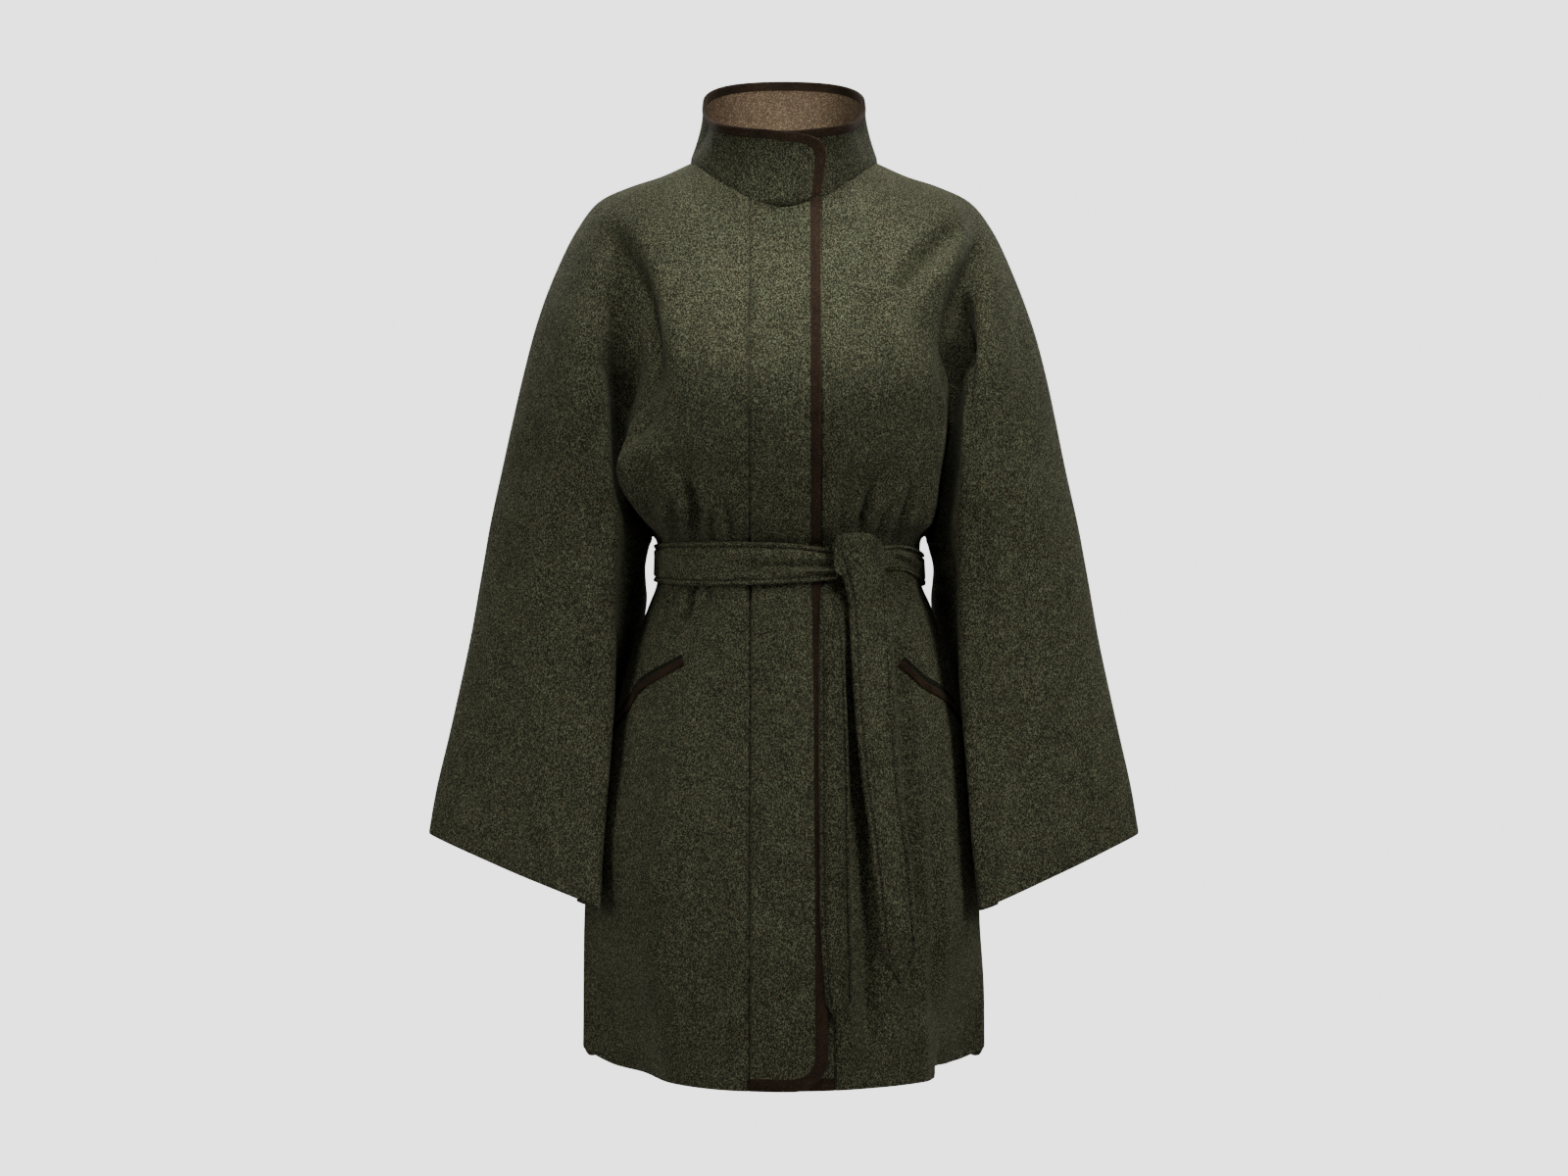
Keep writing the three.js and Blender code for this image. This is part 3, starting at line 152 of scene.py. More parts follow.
# Tails of the belt by level, and how far they stand off the skirt.
tailOver = tableOf("z left right off", [
    [-394, 49.5, 95, 0],
    [-422, 59.5, 101.5, 0],
    [-451, 65, 104, 6],
    [-497, 67, 107, 4],
    [-537, 69, 108.5, 3],
    [-580, 72.5, 111, 2],
    [-622, 77, 114, 2],
    [-661, 83, 119, 2],
    [-707, 88, 125, 2],
    [-787, 97, 131, 2],
])
tailUnder = tableOf("z left right off", [
    [-437, 36, 47, 0],
    [-463, 35, 57, 0],
    [-514, 34.5, 61, 0],
    [-596, 34, 64, 0],
    [-678, 34.5, 65, 0],
    [-739, 35, 66, 0],
    [-831, 40.6, 67.6, 0],
])
# The upper tail passes behind the knot, over the belt's edge and down in front.
tailWrap = tableOf("z depth", [[-420, 0], [-392, 0], [-383, 0.12], [-379.5, 0.5], [-382, 0.85]])

hemPlan = {
    viewerLeft: {"from": -680, "fX": 110, "fY": -112, "eX": 142, "eY": -52, "gX": 176, "gY": -14,
                 "eRise": 0, "gRise": 2},
    viewerRight: {"from": -755, "fX": 144, "fY": -96, "eX": 153, "eY": -44, "gX": 182, "gY": -6,
                  "eRise": 3, "gRise": 5},
}
sideRise = {"height": 14, "from": -790}
bodyLines = ["mid", "n", "f", "e", "g", "d"]
sleeveLines = ["d", "h", "c", "m", "b", "a"]
partLines = {"upper": bodyLines + sleeveLines[1:], "body": bodyLines, "sleeve": sleeveLines}
slopePower = 1.6
lineDip = {"d": 1, "g": 0.5, "h": 0.4}
sleevePuff = 4
ringTurns = {"n": 16, "f": 33, "e": 63, "g": 78}
underarm = len(frontUpper) - 1
hemRow = underarm + len(bodyRings)


def mix(low, high, share):
    return low + (high - low) * share


def ease(value):
    share = np.clip(value, 0, 1)
    return share * share * (3 - 2 * share)


def unit(vectors):
    return vectors / np.maximum(np.linalg.norm(vectors, axis=-1, keepdims=True), 1e-9)


# the garment's levels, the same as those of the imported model

def upperLevel(row, side, index):
    onRight = 1 if side == viewerRight else 0
    shift = {"e": row["eR"], "g": (row["eR"] + row["dR"]) / 2, "d": row["dR"],
             "h": (row["dR"] + row["cR"]) / 2, "c": row["cR"]}

    def at(line, x, y):
        outX = x + onRight * shift.get(line, 0)
        drop = min(1, max(0, outX / row["aX"])) ** slopePower
        z = mix(row["midZ"], row["aZ"], drop) + row["dip"] * lineDip.get(line, 0)
        return np.array([side * outX, y, z])

    puff = ease((index - 4) / 3) * sleevePuff * np.sign(row["bY"])
    points = {"mid": at("mid", 0, row["midY"]),
              "n": at("n", row["fX"] * 0.5, mix(row["midY"], row["fY"], 0.24))}
    for line in ["f", "e", "g", "d", "h", "c", "b"]:
        points[line] = at(line, row[line + "X"], row[line + "Y"])
    points["m"] = mix(points["c"], points["b"], 0.3) + [0, puff, 0]
    points["a"] = np.array([side * row["aX"], 0, row["aZ"]])
    return points


def ringLevel(row, side, face):
    outX = row["sideX"] + (row["right"] if side == viewerRight else 0)
    farY = row["frontY"] if face == "front" else row["backY"]
    plan = hemPlan[side]
    fluted = ease((plan["from"] - row["z"]) / (plan["from"] - hemLevel)) if face == "front" else 0
    rising = ease((sideRise["from"] - row["z"]) / (sideRise["from"] - hemLevel))
    points = {"mid": np.array([0, farY, row["z"]])}
    for line, turn in ringTurns.items():
        x = outX * math.sin(math.radians(turn))
        y = mix(row["sideY"], farY, math.cos(math.radians(turn)))
        rise = plan.get(line + "Rise", 0) * rising * fluted
        points[line] = np.array([side * mix(x, plan.get(line + "X", x), fluted),
                                 mix(y, plan.get(line + "Y", y), fluted), row["z"] + rise])
    points["d"] = np.array([side * outX, row["sideY"], row["z"] + sideRise["height"] * rising])
    return points


def sleeveLevel(row, side):
    onRight = 1 if side == viewerRight else 0
    cX = row["cX"] + onRight * row["cR"]
    inX = row["inX"] + onRight * row["inR"]
    hX = row["hX"] + onRight * (row["inR"] + row["cR"]) / 2
    lowZ = row["cZ"] - onRight * row["zR"]
    bShare = min(1, max(0, (row["bX"] - cX) / (row["aX"] - cX)))
    points = {"d": np.array([side * inX, row["inY"], row["inZ"] - onRight * row["zR"]]),
              "h": np.array([side * hX, row["hY"], mix(row["inZ"], row["cZ"], 0.5) - onRight * row["zR"]]),
              "c": np.array([side * cX, row["cY"], lowZ]),
              "b": np.array([side * row["bX"], row["bY"], mix(lowZ, row["aZ"], bShare)]),
              "a": np.array([side * row["aX"], 0, row["aZ"]])}
    points["m"] = mix(points["c"], points["b"], 0.3) + [0, sleevePuff * np.sign(row["bY"]), 0]
    return points


# centripetal Catmull-Rom through points at t = 0, 1, 2 ...; each may be one point or one for every row

def curveAt(points, t, before=None, after=None):
    before = 2 * points[0] - points[1] if before is None else before
    after = 2 * points[-1] - points[-2] if after is None else after
    chain = np.concatenate([before[None], points, after[None]])
    start = np.clip(np.floor(t).astype(int), 0, len(points) - 2)
    share = (t - start)[..., None]
    if points.ndim == 2:
        p0, p1, p2, p3 = (chain[start + k] for k in range(4))
    else:
        rows = np.arange(points.shape[1])
        p0, p1, p2, p3 = (chain[start + k, rows] for k in range(4))
    d0, d1, d2 = (np.sqrt(np.linalg.norm(b - a, axis=-1, keepdims=True)) + 1e-6
                  for a, b in ((p0, p1), (p1, p2), (p2, p3)))
    m1 = ((p1 - p0) / d0 - (p2 - p0) / (d0 + d1) + (p2 - p1) / d1) * d1
    m2 = ((p2 - p1) / d1 - (p3 - p1) / (d1 + d2) + (p3 - p2) / d2) * d1
    s2, s3 = share * share, share * share * share
    return p1 * (2 * s3 - 3 * s2 + 1) + m1 * (s3 - 2 * s2 + share) + p2 * (3 * s2 - 2 * s3) + m2 * (s3 - s2)


def makeQuarter(face, side):
    upper = [upperLevel(row, side, i) for i, row in enumerate(frontUpper if face == "front" else backUpper)]
    rings = [ringLevel(row, side, face) for row in bodyRings]
    cuffs = [sleeveLevel(row, side) for row in (sleeveFront if face == "front" else sleeveBack)]
    lines = {"dUpper": np.array([level["d"] for level in upper]),
             "dBody": np.array([level["d"] for level in upper[-1:] + rings]),
             "dSleeve": np.array([level["d"] for level in upper[-1:] + cuffs])}
    for name in bodyLines[:-1] + sleeveLines[1:]:
        lines[name] = np.array([level[name] for level in upper + (rings if name in bodyLines else cuffs)])
    return lines


quarters = {(face, side): makeQuarter(face, side) for face in ("front", "back")
            for side in (viewerLeft, viewerRight)}


def lineAt(quarter, part, name, v):
    if name != "d":
        return curveAt(quarter[name], v)
    if part == "upper":
        return curveAt(quarter["dUpper"], v)
    return curveAt(quarter["d" + part.capitalize()], v - underarm)


def linesAt(face, side, part, v):
    quarter = quarters[face, side]
    points = np.stack([lineAt(quarter, part, name, v) for name in partLines[part]])
    before = points[1] * [-1, 1, 1]
    after = points[-2] * [1, -1, 1] + points[-1] * [0, 2, 0]
    fromPit = ease((v - underarm) / 0.9)[:, None]
    pit = np.full(len(v), float(underarm))
    if part == "body":
        after = mix(lineAt(quarter, "upper", "h", pit), after, fromPit)
    if part == "sleeve":
        seam = points[1] * [1, -1, 1] + points[0] * [0, 2, 0]
        before = mix(lineAt(quarter, "upper", "g", pit), seam, fromPit)
    return points, before, after


# Creases, seen square on: the line of each, half its width, depth into the cloth (a ridge is
# negative), how far its middle bows outward, and the share of its height given to the swell beside it.
beltCreaseLines = tableOf("x0 z0 x1 z1 reach depth bow swell", [
    [-70, -388, 190, -392, 4.5, 3.6, 0, 0.3],
    [-70, -431, 190, -429, 4, 2.6, 0, 0.2],
])
creases = {
    ("front", viewerLeft): tableOf("x0 z0 x1 z1 reach depth bow swell", [
        [184, -60, 136, -250, 15, 13.5, -15, 0.2],
        [170, -96, 148, -300, 26, 18, -8, 0],
        [196, -230, 200, -420, 12, 5, 0, 0.1],
        [228, -330, 224, -560, 20, 4, 0, 0],
        [198, -330, 196, -540, 15, -3.5, 0, 0],
        [206, -96, 204, -300, 13, -3.0, -4, 0],
        [100, -290, 88, -384, 16, 6, 0, 0],
        [62, -300, 58, -384, 12, 2.5, 0, 0],
        [138, -296, 130, -376, 8, 4.5, 0, 0.3],
        [99, -318, 86, -388, 4.6, 7.5, -3, 0.55],
        [62, -338, 46, -388, 4.2, 3.8, 0, 0.5],
        [76, -350, 66, -388, 3.6, 2.9, 0, 0.4],
        [116, -336, 104, -388, 4.4, 4.9, 0, 0.5],
        [30, -352, 27, -388, 4, 1.7, 0, 0.4],
        [85, -420, 96, -468, 3.8, 7.2, 2, 0.55],
        [71, -420, 75, -448, 3.2, 3.8, 0, 0.5],
        [56, -420, 55, -446, 3, 2.6, 0, 0.4],
        [107, -422, 118, -462, 4.2, 4.1, 0, 0.5],
        [36, -420, 33, -450, 3.6, 1.7, 0, 0.4],
        [60, -470, 92, -870, 30, 2.6, 0, 0.2],
        [148, -560, 152, -880, 24, 2.8, 0, 0.3],
        [120, -600, 128, -900, 18, -2.4, 4, 0],
        [254, -420, 262, -700, 18, 2.4, 6, 0.3],
        [214, -560, 212, -730, 16, 1.8, 0, 0.3],
        [232, -150, 252, -330, 14, 1.8, 4, 0.3],
        [60, -150, 96, -270, 26, 1.4, 0, 0.2],
    ]),
    ("front", viewerRight): tableOf("x0 z0 x1 z1 reach depth bow swell", [
        [202, -64, 168, -268, 12, 12.5, -8, 0.2],
        [192, -106, 170, -300, 20, 13, -6, 0],
        [180, -66, 108, -146, 9, 6.5, -3, 0.45],
        [188, -84, 126, -166, 9, -3.6, 0, 0],
        [206, -290, 212, -480, 16, -3.5, 0, 0],
        [240, -330, 250, -560, 22, 4, 0, 0],
        [72, -296, 70, -388, 17, 6, 0, 0],
        [103, -286, 98, -384, 13, 5, 0, 0],
        [76, -312, 74, -398, 28, 7, 0, 0],
        [90, -322, 75, -386, 4.4, 6.7, 2, 0.55],
        [128, -326, 106, -386, 4.8, 7.2, 3, 0.55],
        [152, -346, 142, -388, 4.4, 6.4, 2, 0.5],
        [112, -346, 92, -388, 3.8, 3.5, 0, 0.45],
        [60, -330, 54, -386, 4.2, 3.5, 0, 0.4],
        [140, -318, 124, -386, 4, 3.5, 0, 0.4],
        [126, -420, 120, -446, 3.6, 5.2, 0, 0.5],
        [112, -422, 118, -458, 3.6, 4.3, 0, 0.5],
        [138, -424, 146, -466, 3.6, 3.2, 0, 0.4],
        [70, -436, 88, -930, 12, 15, 0, 0.1],
        [109, -432, 138, -816, 6.5, 7.5, 0, 0.1],
        [64, -432, 70, -846, 4.2, 5, 0, 0],
        [137, -790, 114, -838, 6.5, 6, 0, 0],
        [122, -520, 148, -870, 22, 2.8, 0, 0.3],
        [148, -600, 152, -960, 6, 4.6, 0, 0.4],
        [232, -470, 238, -720, 18, 2.2, -5, 0.3],
        [268, -420, 282, -690, 20, 1.8, 0, 0.3],
        [220, -120, 236, -300, 14, 1.6, 4, 0.3],
    ]),
    ("back", viewerLeft): tableOf("x0 z0 x1 z1 reach depth bow swell", [
        [40, -300, 34, -388, 5, 6.4, 1, 0.5],
        [72, -290, 62, -388, 5, 7.2, 2, 0.5],
        [104, -300, 90, -384, 5, 5.8, 2, 0.5],
        [20, -320, 18, -388, 4.4, 3.8, 0, 0.4],
        [36, -424, 40, -478, 4, 6.1, 0, 0.5],
        [66, -424, 74, -470, 4, 4.9, 0, 0.5],
        [98, -424, 108, -482, 4.4, 5.2, 0, 0.5],
        [126, -150, 170, -70, 12, 5, -6, 0.4],
        [150, -230, 176, -110, 10, 4, -4, 0.4],
        [56, -480, 76, -880, 28, 4.4, 0, 0.3],
        [128, -520, 148, -880, 26, 3.8, 4, 0.3],
        [222, -420, 232, -700, 20, 3.2, 0, 0.3],
        [262, -380, 276, -660, 22, 2.6, 4, 0.3],
        [30, -100, 44, -260, 26, 2.2, 0, 0.2],
    ]),
    ("back", viewerRight): tableOf("x0 z0 x1 z1 reach depth bow swell", [
        [50, -296, 42, -388, 5, 7, 2, 0.5],
        [86, -304, 76, -386, 4.6, 5.8, 1, 0.5],
        [114, -296, 100, -384, 5, 6.4, 3, 0.5],
        [16, -424, 16, -466, 4, 3.8, 0, 0.4],
        [48, -424, 54, -482, 4, 6.1, 0, 0.5],
        [82, -424, 90, -468, 4, 4.9, 0, 0.5],
        [114, -424, 124, -484, 4.4, 5.8, 0, 0.5],
        [122, -170, 172, -84, 12, 5.4, -5, 0.4],
        [148, -246, 178, -130, 10, 4, -4, 0.4],
        [30, -470, 38, -880, 26, 3.8, 0, 0.3],
        [96, -500, 118, -880, 28, 4.6, 3, 0.3],
        [230, -430, 240, -710, 20, 3.2, 3, 0.3],
        [268, -360, 284, -650, 22, 2.4, 0, 0.3],
    ]),
}
ripple = {"height": 0.5, "acrossMm": 47, "downMm": 83}


def creaseDepth(face, side, point, normal):
    toFace = -normal[:, 1] if face == "front" else normal[:, 1]
    outX, z = side * point[:, 0], point[:, 2]
    depth = np.zeros(len(point))
    for fold in beltCreaseLines + creases[face, side]:
        lineX, lineZ = fold["x1"] - fold["x0"], fold["z1"] - fold["z0"]
        length = math.hypot(lineX, lineZ)
        share = ((outX - fold["x0"]) * lineX + (z - fold["z0"]) * lineZ) / length ** 2
        away = ((outX - fold["x0"]) * lineZ - (z - fold["z0"]) * lineX) / length
        away = away + fold["bow"] * 4 * share * (1 - share)
        fade = ease(share / 0.3) * ease((1 - share) / 0.2)
        trough = np.exp(-((away / fold["reach"]) ** 2))
        beside = np.exp(-(((np.abs(away) - 1.9 * fold["reach"]) / fold["reach"]) ** 2))
        depth += fold["depth"] * fade * (trough - fold["swell"] * beside)
    x, y = point[:, 0], point[:, 1]
    soft = (np.sin((x + 0.6 * y) / ripple["acrossMm"] * 2.9 + z / ripple["downMm"])
            + np.sin((x - 0.8 * y) / ripple["acrossMm"] * 1.3 - z / ripple["downMm"] * 2.1 + 1.7))
    return depth * ease((toFace - 0.2) / 0.4) - ripple["height"] * soft * ease(-z / 60)


# Points on the cloth: u counts the lines of a part, v the levels, lift stands off the cloth in millimetres.
def clothAt(face, side, part, u, v, lift=0.0):
    u, v, lift = (np.array(a, dtype=float) for a in np.broadcast_arrays(u, v, lift))
    shape, nudge = u.shape, 0.02
    u, v, lift = u.ravel(), v.ravel(), lift.ravel()
    here = linesAt(face, side, part, v)
    below = linesAt(face, side, part, v + nudge)
    above = linesAt(face, side, part, v - nudge)

    def across(lines, place):
        return curveAt(lines[0], place, lines[1], lines[2])

    point = across(here, u)
    normal = unit(np.cross(across(here, u + nudge) - across(here, u - nudge),
                           across(below, u) - across(above, u)))
    normal = normal * (-side if face == "front" else side)
    depth = creaseDepth(face, side, point, normal)
    return (point + normal * (lift - depth)[:, None]).reshape(*shape, 3)


def lineAtX(face, side, part, x, v):
    x, v = (np.array(a, dtype=float) for a in np.broadcast_arrays(x, v))
    shape = x.shape
    x, v = x.ravel(), v.ravel()
    lines = linesAt(face, side, part, v)
    low, high = np.zeros(len(v)), np.full(len(v), 2.0)
    for _ in range(22):
        middle = (low + high) / 2
        inside = np.abs(curveAt(lines[0], middle, lines[1], lines[2])[:, 0]) < x
        low, high = np.where(inside, middle, low), np.where(inside, high, middle)
    return ((low + high) / 2).reshape(shape)


# Points near the centre front by their distance from it, x signed.
def frontAt(x, v, lift=0.0):
    x, v, lift = (np.array(a, dtype=float) for a in np.broadcast_arrays(x, v, lift))
    out = np.zeros((*x.shape, 3))
    for side in (viewerLeft, viewerRight):
        for part in ("upper", "body"):
            mask = ((x < 0) == (side == viewerLeft)) & ((v <= underarm) == (part == "upper"))
            if mask.any():
                u = lineAtX("front", side, part, np.abs(x[mask]), v[mask])
                out[mask] = clothAt("front", side, part, u, v[mask], lift[mask])
    return out


def levelAt(z):
    z = np.array(z, dtype=float)
    low, high = np.full(z.shape, float(underarm)), np.full(z.shape, float(hemRow))
    for _ in range(28):
        middle = (low + high) / 2
        above = curveAt(quarters["front", viewerLeft]["mid"], middle)[..., 2] > z
        low, high = np.where(above, middle, low), np.where(above, high, middle)
    return (low + high) / 2


# closed shells and swept bars

def addMesh(name, points, faces, material):
    mesh = bpy.data.meshes.new(name)
    mesh.from_pydata((np.asarray(points) * metre).tolist(), [], faces)
    mesh.materials.append(material)
    mesh.polygons.foreach_set("use_smooth", [True] * len(mesh.polygons))
    mesh.validate()
    mesh.set_sharp_from_angle(angle=math.radians(48))
    piece = bpy.data.objects.new(name, mesh)
    bpy.context.collection.objects.link(piece)
    return piece


def quadsOf(rows, columns, start, turned):
    ids = start + np.arange(rows * columns).reshape(rows, columns)
    quads = np.stack([ids[:-1, :-1], ids[:-1, 1:], ids[1:, 1:], ids[1:, :-1]], axis=-1).reshape(-1, 4)
    return quads[:, ::-1] if turned else quads


# A sheet of cloth from grids of outer points, welded where they meet, with its wall towards the inside.
# lifts holds, for each grid, how far its points stand off in millimetres.
def shell(name, grids, wall, turned, material, lifts=None):
    points = np.concatenate([grid.reshape(-1, 3) for grid in grids])
    extra = np.concatenate([np.zeros(g.shape[0] * g.shape[1]) if lifts is None else lifts[k].ravel()
                            for k, g in enumerate(grids)])
    quads, start = [], 0
    for grid in grids:
        quads.append(quadsOf(grid.shape[0], grid.shape[1], start, turned))
        start += grid.shape[0] * grid.shape[1]
    quads = np.concatenate(quads)
    _, first, welded = np.unique(np.round(points, 2), axis=0, return_index=True, return_inverse=True)
    points, extra, quads = points[first], extra[first], welded.reshape(-1)[quads]
    normals = np.zeros_like(points)
    flatNormals = np.cross(points[quads[:, 2]] - points[quads[:, 0]],
                           points[quads[:, 3]] - points[quads[:, 1]])
    for corner in range(4):
        np.add.at(normals, quads[:, corner], flatNormals)
    normals = unit(normals)
    points = points + normals * extra[:, None]
    inner = points - normals * (wall + np.minimum(extra, 0) * 0.5)[:, None]
    faces = []
    for quad in quads.tolist():
        corners = list(dict.fromkeys(quad))
        if len(corners) > 2:
            faces.append(corners)
    count = len(points)
    edges = {}
    for corners in faces:
        for k, a in enumerate(corners):
            edges[(a, corners[(k + 1) % len(corners)])] = True
    closed = faces + [[c + count for c in reversed(corners)] for corners in faces]
    closed += [[b, a, a + count, b + count] for a, b in edges if (b, a) not in edges]
    return addMesh(name, np.concatenate([points, inner]), closed, material)


def bar(name, rings, material, loop=False, turned=False):
    rings = np.asarray(rings)
    count, size = rings.shape[0], rings.shape[1]
    faces = []
    for r in range(count if loop else count - 1):
        here, there = r * size, ((r + 1) % count) * size
        for k in range(size):
            after = (k + 1) % size
            face = [here + k, here + after, there + after, there + k]
            faces.append(face[::-1] if turned else face)
    if not loop:
        near, far = list(range(size))[::-1], [(count - 1) * size + k for k in range(size)]
        faces += [near[::-1], far[::-1]] if turned else [near, far]
    return addMesh(name, rings.reshape(-1, 3), faces, material)


def spread(anchors, counts):
    parts = [np.linspace(a, b, count, endpoint=False) for a, b, count in zip(anchors, anchors[1:], counts)]
    return np.concatenate([*parts, [anchors[-1]]])


# Cloth panels: how many steps lie between two lines and between two levels.
panelGrid = {
    "body": {"n": 14, "f": 14, "e": 24, "g": 12, "d": 10},
    "sleeve": [10, 12, 10, 17, 26],
    "upperRows": [4, 4, 5, 8, 11, 13, 13, 13, 13, 15],
    "bodyRows": [3, 5, 6, 6, 8, 12, 12, 17, 12, 17, 18, 18],
    "sleeveRows": [7, 8, 12, 14, 19, 17, 16],
    "backShare": 0.8,
}
# how far the overarm seam lies in front of the fold, by level
overarm = tableOf("v shift", [[0, 0], [3, 0], [4, 6], [5, 14], [6, 18], [9, 18], [10, 16], [12, 14],
                              [14, 8], [15.5, 2], [17, 0]])


def shared(counts, share):
    return [max(2, round(count * share)) for count in counts]


def rowsOf(first, counts):
    return spread(list(range(first, first + len(counts) + 1)), counts)


def seamX(side, v):
    if side == viewerLeft:
        return np.full(np.shape(v), -placket["overSeamX"])
    return mix(placket["underSeamTopX"], placket["underSeamHemX"], ease((v - underarm) / (hemRow - underarm)))


# u of the overarm seam on the front, and of the strip of the front that the back panel takes over
def overarmLine(side, v):
    shift = np.interp(v, [row["v"] for row in overarm], [row["shift"] for row in overarm])
    upper = v <= underarm
    out = np.zeros(len(v))
    for part, mask in (("upper", upper), ("sleeve", ~upper)):
        if mask.any():
            points = linesAt("front", side, part, v[mask])[0]
            out[mask] = shift[mask] / np.linalg.norm(points[-1] - points[-2], axis=-1)
    return out


# Panels are sunk at their seams and rolled in at their open hems.
def frontPanel(name, side, material):
    body = list(panelGrid["body"].values())
    sink, sideSink = -cloth["seamSink"], -cloth["sideSink"]

    def bodyLine(part, v):
        start = seamX(side, v)
        edges = [lineAtX("front", side, part, start + gap, v) for gap in (cloth["seamGap"] / 2, 0.8, 2.6)]
        toF = np.linspace(0, 1, 17)[1:]
        inner = edges[-1][:, None] * (1 - toF) + 2 * toF
        rest = spread([2, 3, 4, 5], body[2:])[1:]
        return np.concatenate([np.stack(edges, axis=1), inner, np.tile(rest, (len(v), 1))], axis=1)

    def sleeveLine(v, last):
        line = spread([5, 6, 7, 8, 9, 10], panelGrid["sleeve"])
        scaled = np.where(line[None] > 9, 9 + (line[None] - 9) * (1 - last[:, None]), line[None])
        step = 0.03
        ends = np.stack([10 - last - step, 10 - last - 0.004], axis=1)
        return np.concatenate([scaled[:, :-1], ends], axis=1)

    upperV = rowsOf(0, panelGrid["upperRows"])
    upperU = np.concatenate([bodyLine("upper", upperV),
                             sleeveLine(upperV, overarmLine(side, upperV))[:, 1:]], axis=1)
    bodyV = rowsOf(underarm, panelGrid["bodyRows"])
    bodyU = bodyLine("body", bodyV)
    cuffV = rowsOf(underarm, panelGrid["sleeveRows"])
    cuffU = sleeveLine(cuffV, overarmLine(side, cuffV))
    upper = clothAt("front", side, "upper", upperU, upperV[:, None])
    lower = clothAt("front", side, "body", bodyU, bodyV[:, None])
    cuff = clothAt("front", side, "sleeve", cuffU - 5, cuffV[:, None])
    pit = bodyU.shape[1]
    lower[0], cuff[0] = upper[-1, :pit], upper[-1, pit - 1:]
    lower[:, -1, 1] -= cloth["seamGap"] / 2 * ease((bodyV - underarm) / cloth["pitReach"])
    cuff[:, 0, 1] -= cloth["seamGap"] / 2 * ease((cuffV - underarm) / cloth["pitReach"])
    lifts = [np.zeros(grid.shape[:2]) for grid in (upper, lower, cuff)]
    for lift in lifts[:2]:
        lift[:, 0], lift[:, 1] = sink, sink * cloth["seamFall"]
    for lift in (lifts[0], lifts[2]):
        lift[:, -1], lift[:, -2] = sideSink, sideSink * cloth["sideFall"]
    lifts[1][1:, -1] = sideSink
    lifts[2][1:, 0] = sideSink
    lifts[1][-1] -= cloth["hemRoll"]
    lifts[2][-1] -= cloth["hemRoll"]
    return shell(name, [upper, lower, cuff], cloth["wall"], side == viewerRight, material, lifts)


def backPanel(name, material):
    share = panelGrid["backShare"]
    body = shared([14, 14, *list(panelGrid["body"].values())[2:]], share)
    sleeve = shared(panelGrid["sleeve"], share)
    sink = -cloth["sideSink"]
    upperV = rowsOf(0, shared(panelGrid["upperRows"], share))
    bodyV = rowsOf(underarm, shared(panelGrid["bodyRows"], share))
    cuffV = rowsOf(underarm, shared(panelGrid["sleeveRows"], share))
    bodyLine = spread([0, 1, 2, 3, 4, 5], body)
    sleeveLine = spread([5, 6, 7, 8, 9, 10], sleeve)

    # the strip in front of the fold, from the seam to the fold's line
    def strip(side, part, v):
        shares = np.array([1, 0.9, 0.6, 0.3])
        last = overarmLine(side, v)[:, None]
        line = (10 if part == "upper" else 5) - np.maximum(last * shares[None] - 0.004, 0)
        return clothAt("front", side, part, line, v[:, None]), shares

    def half(side):
        upperLine = np.concatenate([bodyLine, sleeveLine[1:]])
        upper = clothAt("back", side, "upper", upperLine[None], upperV[:, None])
        lower = clothAt("back", side, "body", bodyLine[None], bodyV[:, None])
        cuff = clothAt("back", side, "sleeve", sleeveLine[None] - 5, cuffV[:, None])
        upper = np.concatenate([upper, strip(side, "upper", upperV)[0][:, ::-1]], axis=1)
        cuff = np.concatenate([cuff, strip(side, "sleeve", cuffV)[0][:, ::-1]], axis=1)
        pit = len(bodyLine)
        lower[0], cuff[0] = upper[-1, :pit], upper[-1, pit - 1:]
        lower[:, -1, 1] += cloth["seamGap"] / 2 * ease((bodyV - underarm) / cloth["pitReach"])
        cuff[:, 0, 1] += cloth["seamGap"] / 2 * ease((cuffV - underarm) / cloth["pitReach"])
        lifts = [np.zeros(grid.shape[:2]) for grid in (upper, lower, cuff)]
        for lift in (lifts[0], lifts[2]):
            lift[:, -1], lift[:, -2] = sink, sink * cloth["sideFall"]
        lifts[1][1:, -1] = sink
        lifts[2][1:, 0] = sink
        lifts[1][-1] -= cloth["hemRoll"]
        lifts[2][-1] -= cloth["hemRoll"]
        return [upper, lower, cuff], lifts

    leftGrids, leftLifts = half(viewerLeft)
    rightGrids, rightLifts = half(viewerRight)
    grids, lifts = [], []
    for k in (0, 1):
        grids.append(np.concatenate([leftGrids[k][:, ::-1], rightGrids[k][:, 1:]], axis=1))
        lifts.append(np.concatenate([leftLifts[k][:, ::-1], rightLifts[k][:, 1:]], axis=1))
    grids += [leftGrids[2][:, ::-1], rightGrids[2]]
    lifts += [leftLifts[2][:, ::-1], rightLifts[2]]
    return shell(name, grids, cloth["wall"], False, material, lifts)


# the lapped fronts and their plackets
bandBottom = hemLevel + binding["hemWidth"]


def overLift(x):
    return placket["lift"] * ease((x - placket["overSeamX"]) / -placket["overSeamX"])


def underSink(x):
    reach = placket["sinkStartX"] - placket["underEdgeX"]
    return placket["sink"] * ease((placket["sinkStartX"] - x) / reach)


def hemShare(v):
    return ease((v - underarm) / (hemRow - underarm))


def overEdge(v):
    return mix(placket["overEdgeTopX"], placket["overEdgeHemX"], hemShare(v))


def underEdge(v):
    return np.full(np.shape(v), float(placket["underEdgeX"]))


